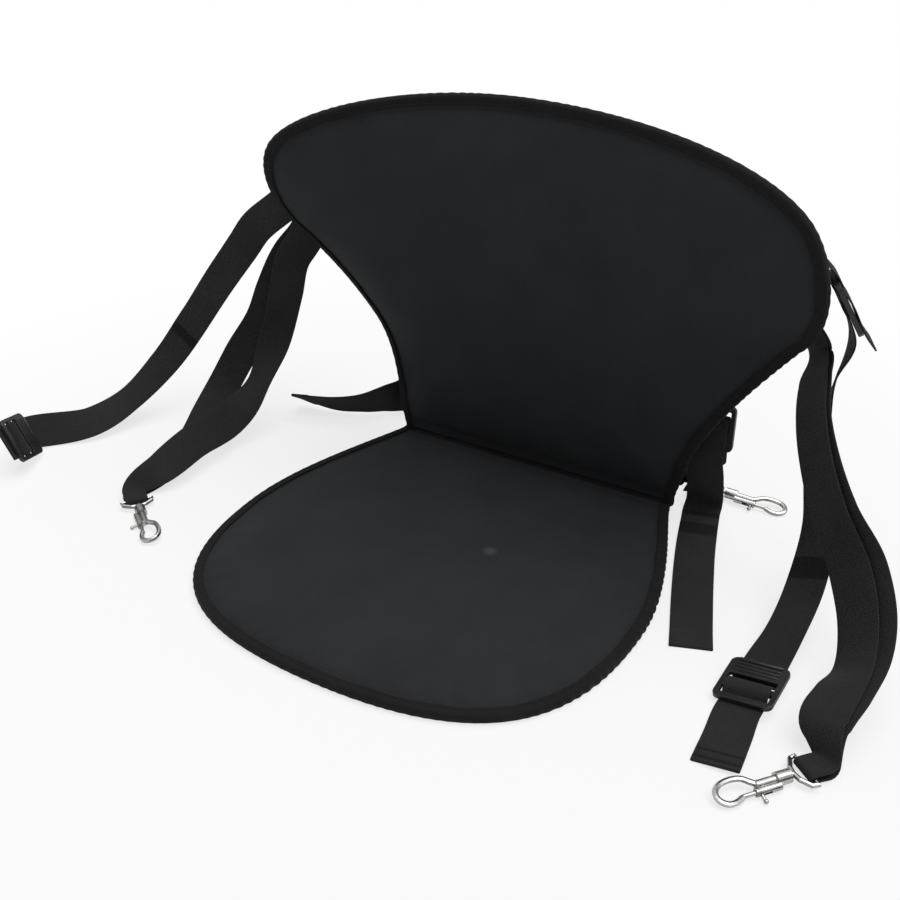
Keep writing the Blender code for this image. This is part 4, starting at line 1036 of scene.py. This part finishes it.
def moulded_plastic():
    """Fine grain, with slow changes of shade and shine."""
    made, tree, shader = blank("moulded_plastic", Specular_IOR_Level=0.5)
    where = put(tree, "ShaderNodeTexCoord").outputs["Object"]
    grain, slow = noise(tree, where, 0.0006, 2), noise(tree, where, 0.012, 3)
    bump = put(tree, "ShaderNodeBump", {"Strength": 0.12, "Distance": 0.0002, "Height": grain})
    tone = blend_colours(tree, slow, (0.008, 0.008, 0.009), (0.017, 0.017, 0.018))
    rough = maths(tree, "ADD", maths(tree, "MULTIPLY", slow, 0.22), 0.28)
    wire_up(tree, shader, tone, rough, bump)
    return made


def bright_plate(name, colour, rough):
    """Plated metal: faint orange peel and duller patches."""
    made, tree, shader = blank(name, Metallic=1.0)
    where = put(tree, "ShaderNodeTexCoord").outputs["Object"]
    peel, slow = noise(tree, where, 0.0014, 2), noise(tree, where, 0.006, 4)
    bump = put(tree, "ShaderNodeBump", {"Strength": 0.10, "Distance": 0.0002, "Height": peel})
    tone = blend_colours(tree, slow, tuple(c * 0.45 for c in colour), colour)
    uneven = maths(tree, "ADD", maths(tree, "MULTIPLY", slow, 0.22), rough - 0.08)
    wire_up(tree, shader, tone, uneven, bump)
    return made


PAD_CLOTH = cloth("pad_cloth", (0.026, 0.028, 0.031), 0.0011, 0.0011, 0.45, scuff=SCUFF)
REAR_CLOTH = cloth("rear_cloth", (0.014, 0.014, 0.015), 0.0008, 0.0008, 0.4)
TAPE_CLOTH = cloth("tape_cloth", (0.013, 0.013, 0.014), 0.0030, 0.0009, 0.5)
WEBBING = cloth("webbing_cloth", (0.026, 0.026, 0.027), 0.0019, 0.0022, 0.9, brick=True)
THREAD = cloth("sewing_thread", (0.020, 0.020, 0.022), 0.0004, 0.0004, 0.3)
PLASTIC = moulded_plastic()
PLATED = bright_plate("plated_casting", (0.70, 0.70, 0.68), 0.22)
STEEL = bright_plate("drawn_wire", (0.60, 0.60, 0.60), 0.35)


# The seat


def pads():
    """Each pad with its cover and bound edge, and the tape that joins the two at the fold."""
    seat, back = seat_outline(PAD_STATIONS), back_outline(PAD_STATIONS)
    seat_centre, back_centre = np.array([0.0, SEAT_WIDEST_Y]), np.array([0.0, BACK_HEIGHT * 0.56])
    under, behind = SEAT_EDGE_LOW, -EDGE / 2
    sole = cover("seat_underside", seat, seat_centre, on_seat, under, sole=SEAT_EDGE_LOW)
    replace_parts(sole, "seat_base")
    seat_pad = moulded_pad("seat_pad", seat, seat_centre, on_seat, under + COVER + GAP,
                           SEAT_THICKNESS - EDGE, 11, SEAT_CREASE, sole=SEAT_EDGE_LOW)
    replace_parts(seat_pad, "seat_face", "seat_foam")
    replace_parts(cover("backrest_rear", back, back_centre, on_back, behind), "backrest_rear_cover")
    back_pad = moulded_pad("backrest_pad", back, back_centre, on_back, behind + COVER + GAP,
                           BACK_THICKNESS - EDGE, 23, BACK_CREASE)
    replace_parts(back_pad, "backrest_face", "backrest_foam")
    seat_tape = bound_edge("seat_edge_tape", seat_outline, on_seat, under, 31, SEAT_GATHERS)
    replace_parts(seat_tape, "seat_binding")
    back_tape = bound_edge("backrest_edge_tape", back_outline, on_back, behind, 47, BACK_GATHERS,
                           BACK_RUN_ON)
    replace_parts(back_tape, "backrest_binding")
    fold_tape()


def hardware():
    """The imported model's own locks and hooks, in their finishes."""
    finishes = {"black_plastic": PLASTIC, "plated_metal": PLATED, "spring_steel": STEEL}
    slots = {part["node"]: part["material_slot"] for part in frame["record"]["subparts"]}
    for name, node in frame["nodes"].items():
        if slots[name] in finishes:
            node.data.materials.clear()
            node.data.materials.append(finishes[slots[name]])


def floor():
    """A pale floor that to the camera is part light of its own, all of it far from the seat.

    So it stays white, and keeps the seat's shadow.
    """
    bpy.ops.mesh.primitive_plane_add(size=12, location=(0, 0, -0.0004))
    plane = bpy.context.object
    plane.name = "studio_floor"
    made, tree, shader = blank("pale_floor", Roughness=0.9, Specular_IOR_Level=0.1)
    shader.inputs["Base Color"].default_value = (0.94, 0.94, 0.94, 1)
    where = put(tree, "ShaderNodeTexCoord").outputs["Object"]
    away = put(tree, "ShaderNodeVectorMath", {0: where}, operation="LENGTH").outputs["Value"]
    share = ranged(tree, away, (FLOOR_NEAR, FLOOR_FAR), (FLOOR_SHARE, 1.0))
    seen = put(tree, "ShaderNodeLightPath").outputs["Is Camera Ray"]
    white = put(tree, "ShaderNodeEmission", {"Color": (1, 1, 1, 1), "Strength": 1.0})
    mixed = put(tree, "ShaderNodeMixShader",
                {0: maths(tree, "MULTIPLY", share, seen), 1: shader.outputs[0], 2: white.outputs[0]})
    tree.links.new(mixed.outputs[0], tree.nodes["Material Output"].inputs["Surface"])
    plane.data.materials.append(made)


def suns():
    """A broad high key from behind, and a faint light from the front."""
    for name, place, angle, power in SUNS:
        lamp = bpy.data.lights.new(name, "SUN")
        lamp.angle, lamp.energy = math.radians(angle), power
        obj = bpy.data.objects.new(name, lamp)
        obj.location = place
        obj.rotation_euler = (-Vector(place)).to_track_quat("-Z", "Y").to_euler()
        bpy.context.scene.collection.objects.link(obj)


def plain_light(tree, strength):
    """White background light."""
    made = put(tree, "ShaderNodeBackground", {"Color": (1, 1, 1, 1), "Strength": strength})
    return made.outputs[0]


def sky():
    """A world that is white to the camera and that polished surfaces see darken towards the horizon."""
    world = bpy.data.worlds.new("studio")
    bpy.context.scene.world = world
    world.use_nodes = True
    tree = world.node_tree
    tree.nodes.clear()
    path = put(tree, "ShaderNodeLightPath").outputs
    where = put(tree, "ShaderNodeTexCoord").outputs["Generated"]
    height = put(tree, "ShaderNodeSeparateXYZ", {0: where}).outputs[2]
    gloss = plain_light(tree, ranged(tree, height, SKY_HEIGHTS, SKY_LEVELS))
    fill, white = plain_light(tree, FILL), plain_light(tree, 1.0)
    polished = put(tree, "ShaderNodeMixShader", {0: path["Is Glossy Ray"], 1: fill, 2: gloss})
    seen = maths(tree, "MAXIMUM", path["Is Camera Ray"], path["Is Transmission Ray"])
    mixed = put(tree, "ShaderNodeMixShader", {0: seen, 1: polished.outputs[0], 2: white})
    put(tree, "ShaderNodeOutputWorld", {0: mixed.outputs[0]})


def camera():
    """The photo's view: axes from turn and rise, then rolled, with the place given along them."""
    a, e, r = CAMERA_TURN, CAMERA_RISE, CAMERA_ROLL
    back = np.array([math.sin(a) * math.cos(e), -math.cos(a) * math.cos(e), math.sin(e)])
    right = np.array([math.cos(a), math.sin(a), 0.0])
    up = np.cross(back, right)
    across, upward = right * math.cos(r) + up * math.sin(r), up * math.cos(r) - right * math.sin(r)
    place = across * CAMERA_PLACE[0] + upward * CAMERA_PLACE[1] + back * CAMERA_PLACE[2] + CAMERA_ORIGIN
    data = bpy.data.cameras.new("photo_view")
    data.lens, data.sensor_width = CAMERA_LENS, 36
    obj = bpy.data.objects.new("photo_view", data)
    obj.matrix_world = Matrix.Translation(place) @ Matrix((across, upward, back)).transposed().to_4x4()
    bpy.context.scene.collection.objects.link(obj)
    bpy.context.scene.camera = obj
    bpy.context.scene.view_settings.view_transform = "Standard"


def build():
    camera()
    wings = {"left": back_surface(-WING_ACROSS, WING_UP), "right": back_surface(WING_ACROSS, WING_UP)}
    pads()
    front_straps(wings)
    buckle_straps(wings)
    rear_straps()
    hardware()
    floor()
    suns()
    sky()


build()
